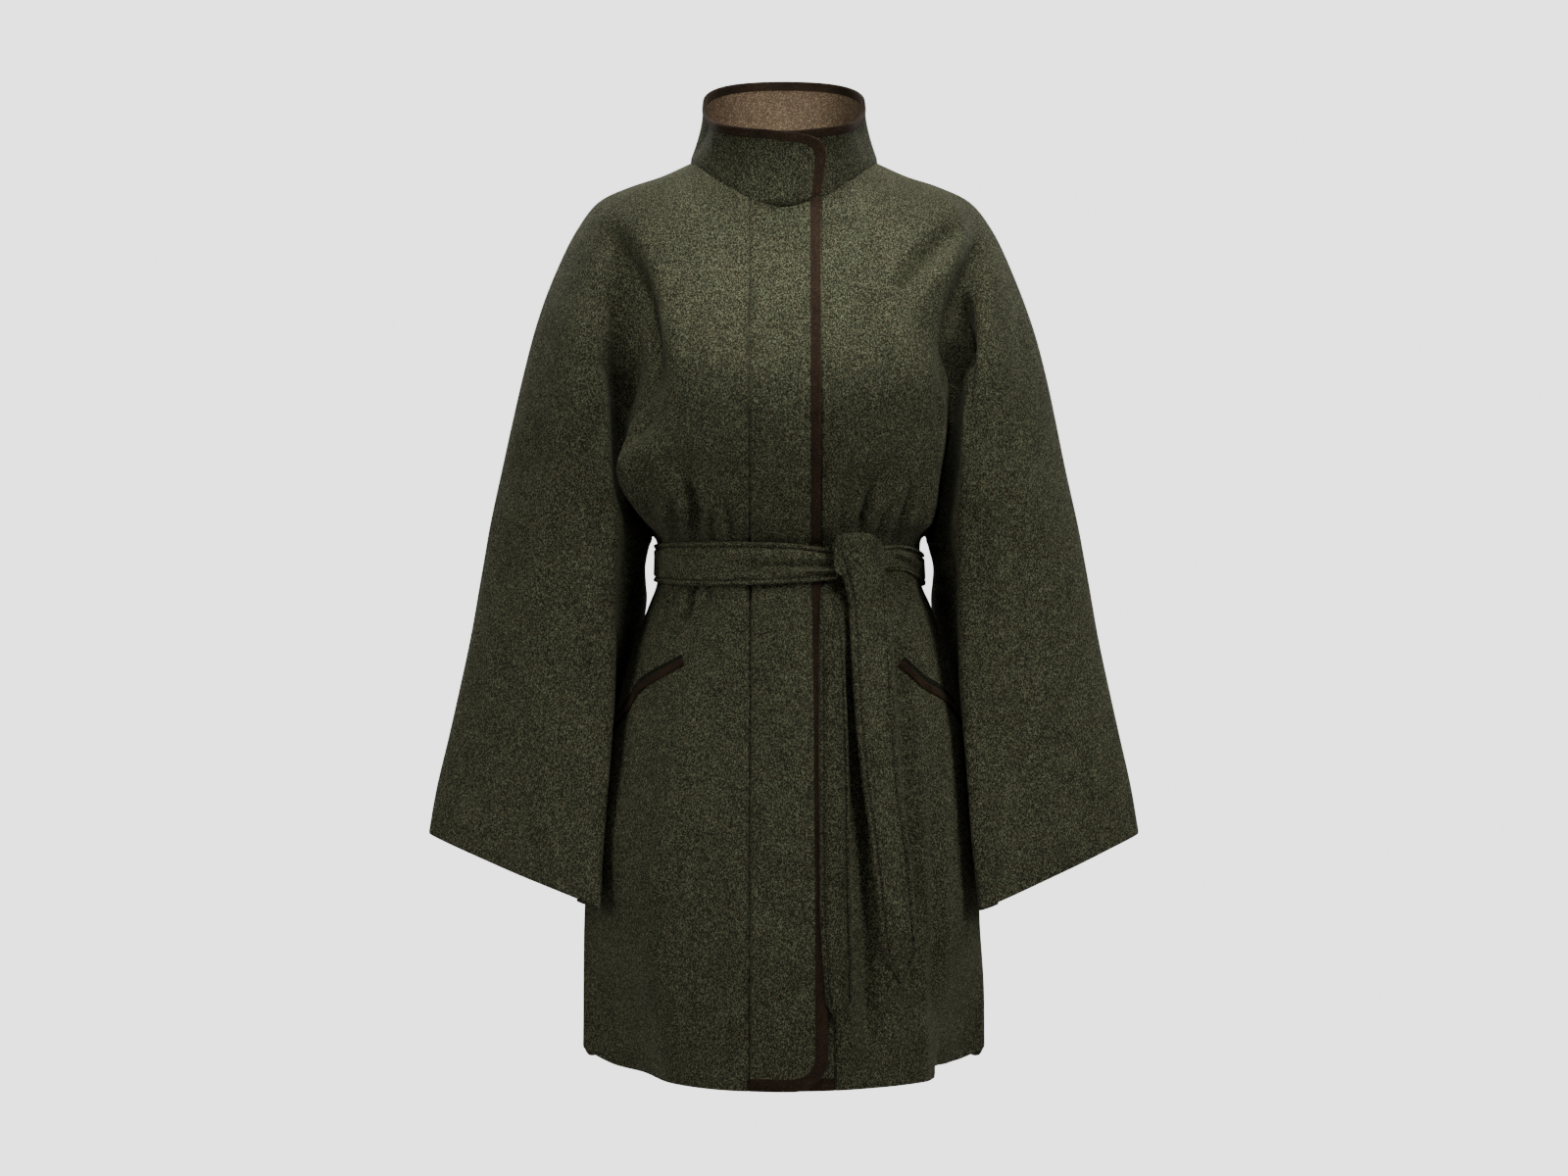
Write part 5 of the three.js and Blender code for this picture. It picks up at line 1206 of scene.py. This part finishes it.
# Milled wool: fibres of a ground shade mixed with lighter and darker ones, flecks of a few tenths of a
# millimetre, over soft cloudy changes of tone.
def makeMelangeGroup():
    group = bpy.data.node_groups.new("woolMelange", "ShaderNodeTree")
    socketsOf(group, [
        ("Vector", "NodeSocketVector", None),
        ("Ground", "NodeSocketColor", (0.05, 0.05, 0.03, 1)),
        ("Light Fibre", "NodeSocketColor", (0.12, 0.12, 0.08, 1)),
        ("Dark Fibre", "NodeSocketColor", (0.02, 0.02, 0.01, 1)),
        ("Warm Fibre", "NodeSocketColor", (0.1, 0.05, 0.03, 1)),
        ("Fleck Scale", "NodeSocketFloat", 620.0),
        ("Light Share", "NodeSocketFloat", 0.4),
        ("Dark Share", "NodeSocketFloat", 0.4),
        ("Warm Share", "NodeSocketFloat", 0.3),
        ("Sharpness", "NodeSocketFloat", 0.5),
        ("Cloudiness", "NodeSocketFloat", 0.12),
        ("Roughness Low", "NodeSocketFloat", 0.82),
        ("Roughness High", "NodeSocketFloat", 0.98),
    ], [("Color", "NodeSocketColor"), ("Height", "NodeSocketFloat"), ("Roughness", "NodeSocketFloat")])
    entry = nodeAt(group, "NodeGroupInput", -1200, 0)
    exitNode = nodeAt(group, "NodeGroupOutput", 900, 0)

    def noise(x, y, scaleFrom, factor, detail, distortion):
        size = nodeAt(group, "ShaderNodeMath", x - 200, y - 60, operation="MULTIPLY")
        group.links.new(entry.outputs[scaleFrom], size.inputs[0])
        size.inputs[1].default_value = factor
        node = nodeAt(group, "ShaderNodeTexNoise", x, y)
        node.inputs["Detail"].default_value = detail
        node.inputs["Roughness"].default_value = 0.62
        node.inputs["Distortion"].default_value = distortion
        group.links.new(entry.outputs["Vector"], node.inputs["Vector"])
        group.links.new(size.outputs[0], node.inputs["Scale"])
        return node

    fine = noise(-700, 300, "Fleck Scale", 1.0, 3.0, 0.6)
    finer = noise(-700, 0, "Fleck Scale", 2.1, 2.0, 0.2)
    warmer = noise(-700, 600, "Fleck Scale", 0.83, 2.0, 0.3)
    cloud = noise(-700, -300, "Fleck Scale", 0.045, 3.0, 0.4)

    # sharper flecks end sooner: the mask's full value lies nearer its start
    def band(source, x, y, low, high, share):
        span = nodeAt(group, "ShaderNodeMapRange", x, y, interpolation_type="SMOOTHSTEP")
        group.links.new(source.outputs["Fac"], span.inputs["Value"])
        span.inputs["From Min"].default_value = low
        top = nodeAt(group, "ShaderNodeMapRange", x - 180, y - 120)
        group.links.new(entry.outputs["Sharpness"], top.inputs["Value"])
        top.inputs["To Min"].default_value = high
        top.inputs["To Max"].default_value = mix(low, high, 0.3)
        group.links.new(top.outputs["Result"], span.inputs["From Max"])
        size = nodeAt(group, "ShaderNodeMath", x + 180, y, operation="MULTIPLY")
        group.links.new(span.outputs["Result"], size.inputs[0])
        group.links.new(entry.outputs[share], size.inputs[1])
        return size

    warmMask = band(warmer, -420, 600, 0.55, 0.7, "Warm Share")
    lightMask = band(fine, -420, 300, 0.49, 0.66, "Light Share")
    darkMask = band(finer, -420, 0, 0.5, 0.66, "Dark Share")
    warmed = nodeAt(group, "ShaderNodeMix", -160, 520, data_type="RGBA")
    group.links.new(warmMask.outputs[0], warmed.inputs["Factor"])
    group.links.new(entry.outputs["Ground"], warmed.inputs["A"])
    group.links.new(entry.outputs["Warm Fibre"], warmed.inputs["B"])
    lighter = nodeAt(group, "ShaderNodeMix", 0, 300, data_type="RGBA")
    group.links.new(lightMask.outputs[0], lighter.inputs["Factor"])
    group.links.new(warmed.outputs["Result"], lighter.inputs["A"])
    group.links.new(entry.outputs["Light Fibre"], lighter.inputs["B"])
    darker = nodeAt(group, "ShaderNodeMix", 220, 200, data_type="RGBA")
    group.links.new(darkMask.outputs[0], darker.inputs["Factor"])
    group.links.new(lighter.outputs["Result"], darker.inputs["A"])
    group.links.new(entry.outputs["Dark Fibre"], darker.inputs["B"])
    tone = nodeAt(group, "ShaderNodeMapRange", 0, -300)
    group.links.new(cloud.outputs["Fac"], tone.inputs["Value"])
    tone.inputs["From Min"].default_value = 0.3
    tone.inputs["From Max"].default_value = 0.7
    tone.inputs["To Min"].default_value = -1.0
    tone.inputs["To Max"].default_value = 1.0
    swing = nodeAt(group, "ShaderNodeMath", 220, -300, operation="MULTIPLY_ADD")
    group.links.new(tone.outputs["Result"], swing.inputs[0])
    group.links.new(entry.outputs["Cloudiness"], swing.inputs[1])
    swing.inputs[2].default_value = 1.0
    shade = nodeAt(group, "ShaderNodeVectorMath", 460, 160, operation="SCALE")
    group.links.new(darker.outputs["Result"], shade.inputs[0])
    group.links.new(swing.outputs[0], shade.inputs["Scale"])
    group.links.new(shade.outputs["Vector"], exitNode.inputs["Color"])
    height = nodeAt(group, "ShaderNodeMath", 460, 0, operation="ADD")
    group.links.new(fine.outputs["Fac"], height.inputs[0])
    group.links.new(finer.outputs["Fac"], height.inputs[1])
    group.links.new(height.outputs[0], exitNode.inputs["Height"])
    rough = nodeAt(group, "ShaderNodeMapRange", 460, -160)
    group.links.new(fine.outputs["Fac"], rough.inputs["Value"])
    group.links.new(entry.outputs["Roughness Low"], rough.inputs["To Min"])
    group.links.new(entry.outputs["Roughness High"], rough.inputs["To Max"])
    group.links.new(rough.outputs["Result"], exitNode.inputs["Roughness"])
    return group


melangeGroup = makeMelangeGroup()


def clothMaterial(name, looks, stretch=(1.0, 1.0, 1.0)):
    material = bpy.data.materials.new(name)
    material.use_nodes = True
    tree = material.node_tree
    tree.nodes.clear()
    place = nodeAt(tree, "ShaderNodeTexCoord", -1100, 0)
    mapping = nodeAt(tree, "ShaderNodeMapping", -900, 0)
    mapping.inputs["Scale"].default_value = stretch
    tree.links.new(place.outputs["Object"], mapping.inputs["Vector"])
    melange = nodeAt(tree, "ShaderNodeGroup", -640, 0, node_tree=melangeGroup)
    tree.links.new(mapping.outputs["Vector"], melange.inputs["Vector"])
    for key, value in looks["melange"].items():
        melange.inputs[key].default_value = value
    bump = nodeAt(tree, "ShaderNodeBump", -300, -220)
    bump.inputs["Strength"].default_value = looks["bump"]
    bump.inputs["Distance"].default_value = looks["bumpDistance"]
    tree.links.new(melange.outputs["Height"], bump.inputs["Height"])
    surface = nodeAt(tree, "ShaderNodeBsdfPrincipled", 0, 0)
    tree.links.new(melange.outputs["Color"], surface.inputs["Base Color"])
    tree.links.new(melange.outputs["Roughness"], surface.inputs["Roughness"])
    tree.links.new(bump.outputs["Normal"], surface.inputs["Normal"])
    surface.inputs["Specular IOR Level"].default_value = looks["specular"]
    surface.inputs["Sheen Weight"].default_value = looks["sheen"]
    surface.inputs["Sheen Roughness"].default_value = looks["sheenRoughness"]
    surface.inputs["Sheen Tint"].default_value = looks["sheenTint"]
    end = nodeAt(tree, "ShaderNodeOutputMaterial", 300, 0)
    tree.links.new(surface.outputs["BSDF"], end.inputs["Surface"])
    return material


lodenLooks = {
    "melange": {"Ground": (0.03, 0.0335, 0.0185, 1), "Light Fibre": (0.215, 0.224, 0.136, 1),
                "Dark Fibre": (0.006, 0.0065, 0.003, 1), "Warm Fibre": (0.13, 0.065, 0.036, 1),
                "Fleck Scale": 980.0, "Light Share": 1.0, "Dark Share": 0.95, "Warm Share": 0.6,
                "Sharpness": 0.8, "Cloudiness": 0.12},
    "bump": 0.7, "bumpDistance": 0.0004, "specular": 0.1, "sheen": 0.07, "sheenRoughness": 0.5,
    "sheenTint": (0.75, 0.76, 0.58, 1),
}
facingLooks = {
    "melange": {"Ground": (0.15, 0.105, 0.063, 1), "Light Fibre": (0.5, 0.36, 0.22, 1),
                "Dark Fibre": (0.04, 0.028, 0.017, 1), "Warm Fibre": (0.22, 0.11, 0.06, 1),
                "Fleck Scale": 760.0, "Light Share": 0.85, "Dark Share": 0.7, "Warm Share": 0.3,
                "Sharpness": 0.5, "Cloudiness": 0.1},
    "bump": 0.5, "bumpDistance": 0.0007, "specular": 0.15, "sheen": 0.1, "sheenRoughness": 0.5,
    "sheenTint": (0.8, 0.68, 0.5, 1),
}
suedeLooks = {
    "melange": {"Ground": (0.027, 0.016, 0.0085, 1), "Light Fibre": (0.082, 0.052, 0.03, 1),
                "Dark Fibre": (0.009, 0.0055, 0.004, 1), "Warm Fibre": (0.06, 0.03, 0.018, 1),
                "Fleck Scale": 560.0, "Light Share": 0.5, "Dark Share": 0.5, "Warm Share": 0.4,
                "Sharpness": 0.2, "Cloudiness": 0.3},
    "bump": 0.35, "bumpDistance": 0.0006, "specular": 0.18, "sheen": 0.16, "sheenRoughness": 0.4,
    "sheenTint": (0.7, 0.55, 0.42, 1),
}
# the same loden down in a pocket's mouth, darkened: painted shade of the recess
pocketMouthShadeLooks = {
    "melange": {"Ground": (0.012, 0.0125, 0.008, 1), "Light Fibre": (0.05, 0.051, 0.034, 1),
                "Dark Fibre": (0.003, 0.003, 0.002, 1), "Warm Fibre": (0.03, 0.016, 0.01, 1),
                "Fleck Scale": 780.0, "Light Share": 0.6, "Dark Share": 0.8, "Warm Share": 0.4,
                "Sharpness": 0.5, "Cloudiness": 0.1},
    "bump": 0.6, "bumpDistance": 0.0008, "specular": 0.08, "sheen": 0.04, "sheenRoughness": 0.5,
    "sheenTint": (0.75, 0.76, 0.58, 1),
}
threadLooks = {
    "suede": (0.018, 0.011, 0.007, 1),
    "cloth": (0.01, 0.01, 0.006, 1),
}


# how much lighter or darker than the panels a part of the same cloth looks: painted shade on the collar and
# lower belt end, painted light on the belt and knot
paintedShades = {"collar": 0.8, "belt": 1.14, "underTail": 0.84}
grain = {"down": (1.0, 1.0, 0.55), "across": (0.55, 1.0, 1.0)}


# copies a look with its colours scaled, a lit or shaded copy of the same cloth: painted light or shade
def litOrShadedCopy(looks, share):
    melange = {key: tuple(c * share for c in value[:3]) + (1,) if isinstance(value, tuple) else value
               for key, value in looks["melange"].items()}
    return {**looks, "melange": melange}


def threadMaterial(name, color):
    material = bpy.data.materials.new(name)
    material.use_nodes = True
    surface = material.node_tree.nodes["Principled BSDF"]
    surface.inputs["Base Color"].default_value = color
    surface.inputs["Roughness"].default_value = 0.7
    surface.inputs["Specular IOR Level"].default_value = 0.25
    return material


loden = clothMaterial("lodenCloth", lodenLooks, grain["down"])
# collar and lower belt end in darkened loden (painted shade), belt band and knot in lightened loden (painted
# light)
lodenCollarShaded = clothMaterial("lodenCollarShaded", litOrShadedCopy(lodenLooks, paintedShades["collar"]), grain["down"])
lodenBeltLit = clothMaterial("lodenBeltLit", litOrShadedCopy(lodenLooks, paintedShades["belt"]), grain["across"])
lodenUnderTailShaded = clothMaterial("lodenUnderTailShaded", litOrShadedCopy(lodenLooks, paintedShades["underTail"]), grain["down"])
facingCloth = clothMaterial("facingCloth", facingLooks)
# the facing cloth in the pockets' mouths is darkened loden: painted shade of the recess
pocketMouthShade = clothMaterial("pocketMouthShade", pocketMouthShadeLooks)
suede = clothMaterial("suede", suedeLooks)
suedeThread = threadMaterial("suedeThread", threadLooks["suede"])
clothThread = threadMaterial("clothThread", threadLooks["cloth"])
print("materials made")


pieces = {}
for name, side in (("front_right", viewerLeft), ("front_left", viewerRight)):
    pieces[name] = frontPanel(name + "_cloth", side, loden)
pieces["back"] = backPanel("back_cloth", loden)
print("panels made")

pieces["placket_right"] = placketPiece("placket_right_cloth", True, loden)
pieces["placket_left"] = placketPiece("placket_left_cloth", False, loden)
overPath = bindingPath(overEdge, placket["overSeamX"] + cloth["seamGap"] / 2, 1, overLift)
underPath = bindingPath(underEdge, placket["underSeamHemX"] - cloth["seamGap"] / 2, -1,
                        lambda x: -underSink(x))
pieces["binding_front_right"] = bindingBar("binding_front_right_suede", overPath, -binding["depth"],
                                           binding["proud"], False, suede)
pieces["binding_front_left"] = bindingBar("binding_front_left_suede", underPath, -binding["underDepth"],
                                          binding["underProud"], True, suede)
print("plackets and their binding made")

pieces["collar"] = collarLayer("collar_cloth", 0.0, collar["wall"], 0.0, lodenCollarShaded)
pieces["collar_facing"] = collarLayer("collar_facing_cloth", -collar["wall"] - collar["facingGap"],
                                      collar["facingWall"], 0.04, facingCloth)
pieces["binding_collar"] = collarBindingPiece("binding_collar_suede", suede)
print("collar made")

for side, wearer in ((viewerLeft, "right"), (viewerRight, "left")):
    low, high = pocket["bandWidth"] + cloth["seamGap"], pocket["bandWidth"] + pocket["facingWidth"]
    pieces["pocket_band_" + wearer] = pocketPiece(f"pocket_band_{wearer}_suede", side, 0, pocket["bandWidth"],
                                                  False, suede)
    # the facing takes the darkened loden, painted shade of the pocket's mouth
    pieces["pocket_facing_" + wearer] = pocketPiece(f"pocket_facing_{wearer}_cloth", side, low, high, True,
                                                    pocketMouthShade)
print("pockets made")

# the belt band and knot wear the lightened loden (painted light), the lower belt end the darkened one
# (painted shade)
pieces["belt_band"] = beltBandPiece("belt_band_cloth", lodenBeltLit)
pieces["belt_tail_over"] = overTailPiece("belt_tail_over_cloth", loden)
pieces["belt_tail_under"] = underTailPiece("belt_tail_under_cloth", lodenUnderTailShaded)
pieces["belt_knot"] = knotPiece("belt_knot_cloth", lodenBeltLit)
print("belt made")


# Stitches by Geometry Nodes: a short round thread set along each line.
def makeStitchTree():
    tree = bpy.data.node_groups.new("stitchRow", "GeometryNodeTree")
    socketsOf(tree, [
        ("Lines", "NodeSocketGeometry", None),
        ("Pitch", "NodeSocketFloat", 0.0033),
        ("Length", "NodeSocketFloat", 0.0025),
        ("Radius", "NodeSocketFloat", 0.0003),
        ("Uneven", "NodeSocketFloat", 0.12),
        ("Seed", "NodeSocketInt", 5),
        ("Thread", "NodeSocketMaterial", None),
    ], [("Stitches", "NodeSocketGeometry")])
    entry = nodeAt(tree, "NodeGroupInput", -1000, 0)
    exitNode = nodeAt(tree, "NodeGroupOutput", 1000, 0)
    curve = nodeAt(tree, "GeometryNodeMeshToCurve", -780, 200)
    tree.links.new(entry.outputs["Lines"], curve.inputs["Mesh"])
    even = nodeAt(tree, "GeometryNodeResampleCurve", -560, 200, mode="LENGTH")
    tree.links.new(curve.outputs["Curve"], even.inputs["Curve"])
    tree.links.new(entry.outputs["Pitch"], even.inputs["Length"])
    shape = nodeAt(tree, "GeometryNodeMeshUVSphere", -560, -100)
    shape.inputs["Segments"].default_value = 6
    shape.inputs["Rings"].default_value = 5
    shape.inputs["Radius"].default_value = 1.0
    tangent = nodeAt(tree, "GeometryNodeInputTangent", -560, 0)
    turned = nodeAt(tree, "FunctionNodeAlignRotationToVector", -340, 0, axis="X")
    tree.links.new(tangent.outputs["Tangent"], turned.inputs["Vector"])
    half = nodeAt(tree, "ShaderNodeMath", -560, -300, operation="MULTIPLY")
    half.inputs[1].default_value = 0.5
    tree.links.new(entry.outputs["Length"], half.inputs[0])
    size = nodeAt(tree, "ShaderNodeCombineXYZ", -340, -300)
    tree.links.new(half.outputs[0], size.inputs["X"])
    tree.links.new(entry.outputs["Radius"], size.inputs["Y"])
    tree.links.new(entry.outputs["Radius"], size.inputs["Z"])
    low = nodeAt(tree, "ShaderNodeMath", -340, -480, operation="SUBTRACT")
    low.inputs[0].default_value = 1.0
    tree.links.new(entry.outputs["Uneven"], low.inputs[1])
    vary = nodeAt(tree, "FunctionNodeRandomValue", -120, -480, data_type="FLOAT")
    tree.links.new(low.outputs[0], vary.inputs["Min"])
    vary.inputs["Max"].default_value = 1.0
    tree.links.new(entry.outputs["Seed"], vary.inputs["Seed"])
    sized = nodeAt(tree, "ShaderNodeVectorMath", 100, -300, operation="SCALE")
    tree.links.new(size.outputs["Vector"], sized.inputs[0])
    tree.links.new(vary.outputs["Value"], sized.inputs["Scale"])
    copies = nodeAt(tree, "GeometryNodeInstanceOnPoints", 320, 100)
    tree.links.new(even.outputs["Curve"], copies.inputs["Points"])
    tree.links.new(shape.outputs["Mesh"], copies.inputs["Instance"])
    tree.links.new(turned.outputs["Rotation"], copies.inputs["Rotation"])
    tree.links.new(sized.outputs["Vector"], copies.inputs["Scale"])
    real = nodeAt(tree, "GeometryNodeRealizeInstances", 520, 100)
    tree.links.new(copies.outputs["Instances"], real.inputs["Geometry"])
    smooth = nodeAt(tree, "GeometryNodeSetShadeSmooth", 680, 100)
    tree.links.new(real.outputs["Geometry"], smooth.inputs["Geometry"])
    dressed = nodeAt(tree, "GeometryNodeSetMaterial", 840, 100)
    tree.links.new(smooth.outputs["Geometry"], dressed.inputs["Geometry"])
    tree.links.new(entry.outputs["Thread"], dressed.inputs["Material"])
    tree.links.new(dressed.outputs["Geometry"], exitNode.inputs["Stitches"])
    return tree


stitchTree = makeStitchTree()


def stitchPiece(name, lines, loop, material, seed, radius):
    points, edges, start = [], [], 0
    for line in lines:
        count = len(line)
        points.append(np.asarray(line) * metre)
        edges += [(start + k, start + k + 1) for k in range(count - 1)]
        edges += [(start + count - 1, start)] if loop else []
        start += count
    path = bpy.data.meshes.new(name + "_path")
    path.from_pydata(np.concatenate(points).tolist(), edges, [])
    source = bpy.data.objects.new(name + "_path", path)
    bpy.context.collection.objects.link(source)
    sewing = source.modifiers.new("sewing", "NODES")
    sewing.node_group = stitchTree
    values = {"Pitch": thread["pitch"] * metre, "Length": thread["length"] * metre,
              "Radius": radius * metre, "Uneven": thread["uneven"], "Seed": seed, "Thread": material}
    for socket in stitchTree.interface.items_tree:
        if socket.name in values:
            sewing[socket.identifier] = values[socket.name]
    sewn = source.evaluated_get(bpy.context.evaluated_depsgraph_get())
    mesh = bpy.data.meshes.new_from_object(sewn)
    mesh.name = name
    source.modifiers.remove(sewing)
    bpy.data.objects.remove(source)
    piece = bpy.data.objects.new(name, mesh)
    bpy.context.collection.objects.link(piece)
    return piece


def bindingStitches(path, high):
    share = (binding["gap"] + thread["suedeIn"]) / path["width"]
    return frontAt(mix(path["x"], path["outX"], share), mix(path["v"], path["outV"], share),
                   mix(path["lift"], path["outLift"], share) + high + binding["stitchProud"])


def collarStitches():
    a = collarTurns[::-1]
    lift = collar["stitchLift"]
    rim = collarAt(a, 1 - (binding["width"] - thread["suedeIn"]) / collarHeight(a), lift)
    corner = np.radians(np.linspace(90, 180, 9))
    radius = collar["cornerRadius"]
    reach = radius + thread["suedeIn"]
    a = turnAtX(placket["overEdgeTopX"] - radius - reach * np.cos(corner))
    height = collarHeight(a)
    turned = collarAt(a, (height - binding["width"] - radius + reach * np.sin(corner)) / height, lift)
    down = collarAt(turnAtX(placket["overEdgeTopX"] + thread["suedeIn"]), np.linspace(0.52, 0.03, 10), lift)
    return np.concatenate([rim, turned[1:], down])


stitchRows = {
    "binding_front_right": ([bindingStitches(overPath, binding["proud"])], 11),
    "binding_front_left": ([bindingStitches(underPath, binding["underProud"])], 12),
    "binding_collar": ([collarStitches()], 13),
    "belt_band": (beltStitchRows["belt_band_cloth"], 14),
    "belt_tail_over": (beltStitchRows["belt_tail_over_cloth"], 15),
    "belt_tail_under": (beltStitchRows["belt_tail_under_cloth"], 16),
}
stitchPieces = {}
for node, (lines, seed) in stitchRows.items():
    onBelt = node.startswith("belt")
    stitchPieces[node] = stitchPiece(node + "_stitches", lines, node == "belt_band",
                                     clothThread if onBelt else suedeThread, seed,
                                     thread["beltRadius"] if onBelt else thread["radius"])
print("stitches sewn")

slots = {node: "suede" if node.startswith("binding") or node.startswith("pocket_band") else "loden"
         for node in pieces}
slots["collar_facing"] = "collar_facing"
for node, piece in pieces.items():
    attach(piece, "root")
    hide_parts(node)
for node, piece in stitchPieces.items():
    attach(piece, "root")

# The cut of what shows of each sheet, in metres: width, length, area, how it is held and on what.
# The areas of the fronts, back, plackets, collar and its facing were read off the finished cloth.
cuts = tableOf("node width length area held on", [
    ["front_right", 0.4, 0.93, 0.343, "hung", ["back"]],
    ["front_left", 0.4, 0.93, 0.339, "hung", ["back"]],
    ["back", 0.86, 0.96, 0.664, "hung", ["front_right", "front_left"]],
    ["placket_right", 0.065, 0.866, 0.0555, "hung", ["front_right", "placket_left"]],
    ["placket_left", 0.067, 0.866, 0.0545, "hung", ["front_left"]],
    ["collar", 0.53, 0.076, 0.0341, "stretched", ["front_right", "front_left", "back"]],
    ["collar_facing", 0.52, 0.073, 0.032, "stretched", ["collar"]],
    ["pocket_facing_right", 0.12, 0.0105, 0.0011, "stretched", ["front_right"]],
    ["pocket_facing_left", 0.12, 0.0105, 0.0011, "stretched", ["front_left"]],
    ["belt_band", 0.76, 0.037, 0.0276, "stretched", ["front_right", "front_left", "back"]],
    ["belt_tail_over", 0.04, 0.5, 0.0186, "hung", ["belt_band", "belt_knot"]],
    ["belt_tail_under", 0.032, 0.425, 0.0125, "hung", ["belt_band"]],
    ["belt_knot", 0.05, 0.045, 0.0021, "folded", ["belt_band"]],
])
trims = {"placket_right": ["binding_front_right"], "placket_left": ["binding_front_left"],
         "collar": ["binding_collar"]}
for cut in cuts:
    node = cut["node"]
    trimmings = [pieces[name] for name in trims.get(node, [])]
    trimmings += [stitchPieces[name] for name in trims.get(node, []) + [node] if name in stitchPieces]

# stage, light and camera; the floor lies where a wearer of the coat would stand
studio = {"floor": -1.45, "floorRadius": 1.25, "pale": 0.75, "backdrop": 2.75, "floorGlow": 0.86,
          "ambient": 0.012}
lights = tableOf("name x y z aimX aimZ width height spread power", [
    ["overheadLight", 0.0, -0.1, 1.9, 0.0, -0.35, 0.9, 0.9, 180, 33],
    ["frontTopLight", 0.0, -0.8, 1.3, 0.0, -0.35, 0.5, 0.5, 180, 3],
    ["highRightLight", 1.5, -1.6, 1.5, 0.0, -0.35, 0.8, 0.8, 180, 8],
    ["chestLight", 0.02, -1.6, 0.9, 0.015, -0.18, 0.3, 0.1, 11, 0.18],
    ["collarLight", 0.0, -1.0, 1.15, 0.0, 0.112, 0.1, 0.04, 5, 0.025],
    ["lowLeftLight", -1.9, -1.4, -0.5, 0.0, -0.35, 0.8, 0.8, 180, 6],
    ["lowRightLight", 1.9, -1.4, -0.5, 0.0, -0.35, 0.8, 0.8, 180, 2.5],
    ["leftSleeveLight", -1.4, -1.5, 0.4, -0.27, -0.6, 0.6, 0.6, 34, 0.55],
    ["rightSleeveLight", 1.5, -1.4, 0.4, 0.26, -0.55, 0.6, 0.6, 34, 0.8],
    ["backLeftLight", -1.6, 1.9, 0.9, 0.0, -0.45, 0.9, 0.9, 180, 27],
    ["backRightLight", 1.7, 1.7, 0.6, 0.0, -0.45, 0.9, 0.9, 180, 21],
])


def paleFloor():
    turns = np.linspace(0, 2 * math.pi, 97)[:-1]
    corners = [(studio["floorRadius"] * math.cos(t), studio["floorRadius"] * math.sin(t), studio["floor"])
               for t in turns]
    mesh = bpy.data.meshes.new("floor")
    mesh.from_pydata(corners, [], [list(range(len(corners)))])
    material = bpy.data.materials.new("paleFloor")
    material.use_nodes = True
    tree = material.node_tree
    surface = tree.nodes["Principled BSDF"]
    surface.inputs["Base Color"].default_value = (studio["pale"], studio["pale"], studio["pale"], 1)
    surface.inputs["Roughness"].default_value = 0.9
    surface.inputs["Emission Color"].default_value = (1, 1, 1, 1)
    path = nodeAt(tree, "ShaderNodeLightPath", -500, -300)
    glow = nodeAt(tree, "ShaderNodeMath", -250, -300, operation="MULTIPLY")
    glow.inputs[1].default_value = studio["backdrop"] * studio["floorGlow"]
    tree.links.new(path.outputs["Is Camera Ray"], glow.inputs[0])
    tree.links.new(glow.outputs[0], surface.inputs["Emission Strength"])
    mesh.materials.append(material)
    floor = bpy.data.objects.new("floor", mesh)
    bpy.context.collection.objects.link(floor)


def softLight(row):
    light = bpy.data.lights.new(row["name"], "AREA")
    light.shape = "RECTANGLE"
    light.size, light.size_y = row["width"], row["height"]
    light.spread = math.radians(row["spread"])
    light.energy = row["power"]
    lamp = bpy.data.objects.new(row["name"], light)
    lamp.location = (row["x"], row["y"], row["z"])
    direction = Vector((row["aimX"], 0, row["aimZ"])) - Vector(lamp.location)
    lamp.rotation_euler = direction.to_track_quat("-Z", "Y").to_euler()
    bpy.context.collection.objects.link(lamp)


# The camera sees a pale even backdrop; the cloth gets only a little light from it.
def paleWorld():
    world = bpy.data.worlds.new("paleStudio")
    world.use_nodes = True
    tree = world.node_tree
    background = tree.nodes["Background"]
    background.inputs["Color"].default_value = (1, 1, 1, 1)
    path = nodeAt(tree, "ShaderNodeLightPath", -500, 0)
    strength = nodeAt(tree, "ShaderNodeMapRange", -250, 0)
    strength.inputs["To Min"].default_value = studio["ambient"]
    strength.inputs["To Max"].default_value = studio["backdrop"]
    tree.links.new(path.outputs["Is Camera Ray"], strength.inputs["Value"])
    tree.links.new(strength.outputs["Result"], background.inputs["Strength"])
    bpy.context.scene.world = world


paleFloor()
paleWorld()
for row in lights:
    softLight(row)
print("stage and lights set")

view = {"distance": 2.6, "height": -0.432, "lens": 58.5, "sensor": 36.0}
cameraData = bpy.data.cameras.new("photoCamera")
cameraData.sensor_width = view["sensor"]
cameraData.lens = view["lens"]
camera = bpy.data.objects.new("photoCamera", cameraData)
camera.location = (0, -view["distance"], view["height"])
camera.rotation_euler = (math.radians(90), 0, 0)
bpy.context.collection.objects.link(camera)
bpy.context.scene.camera = camera
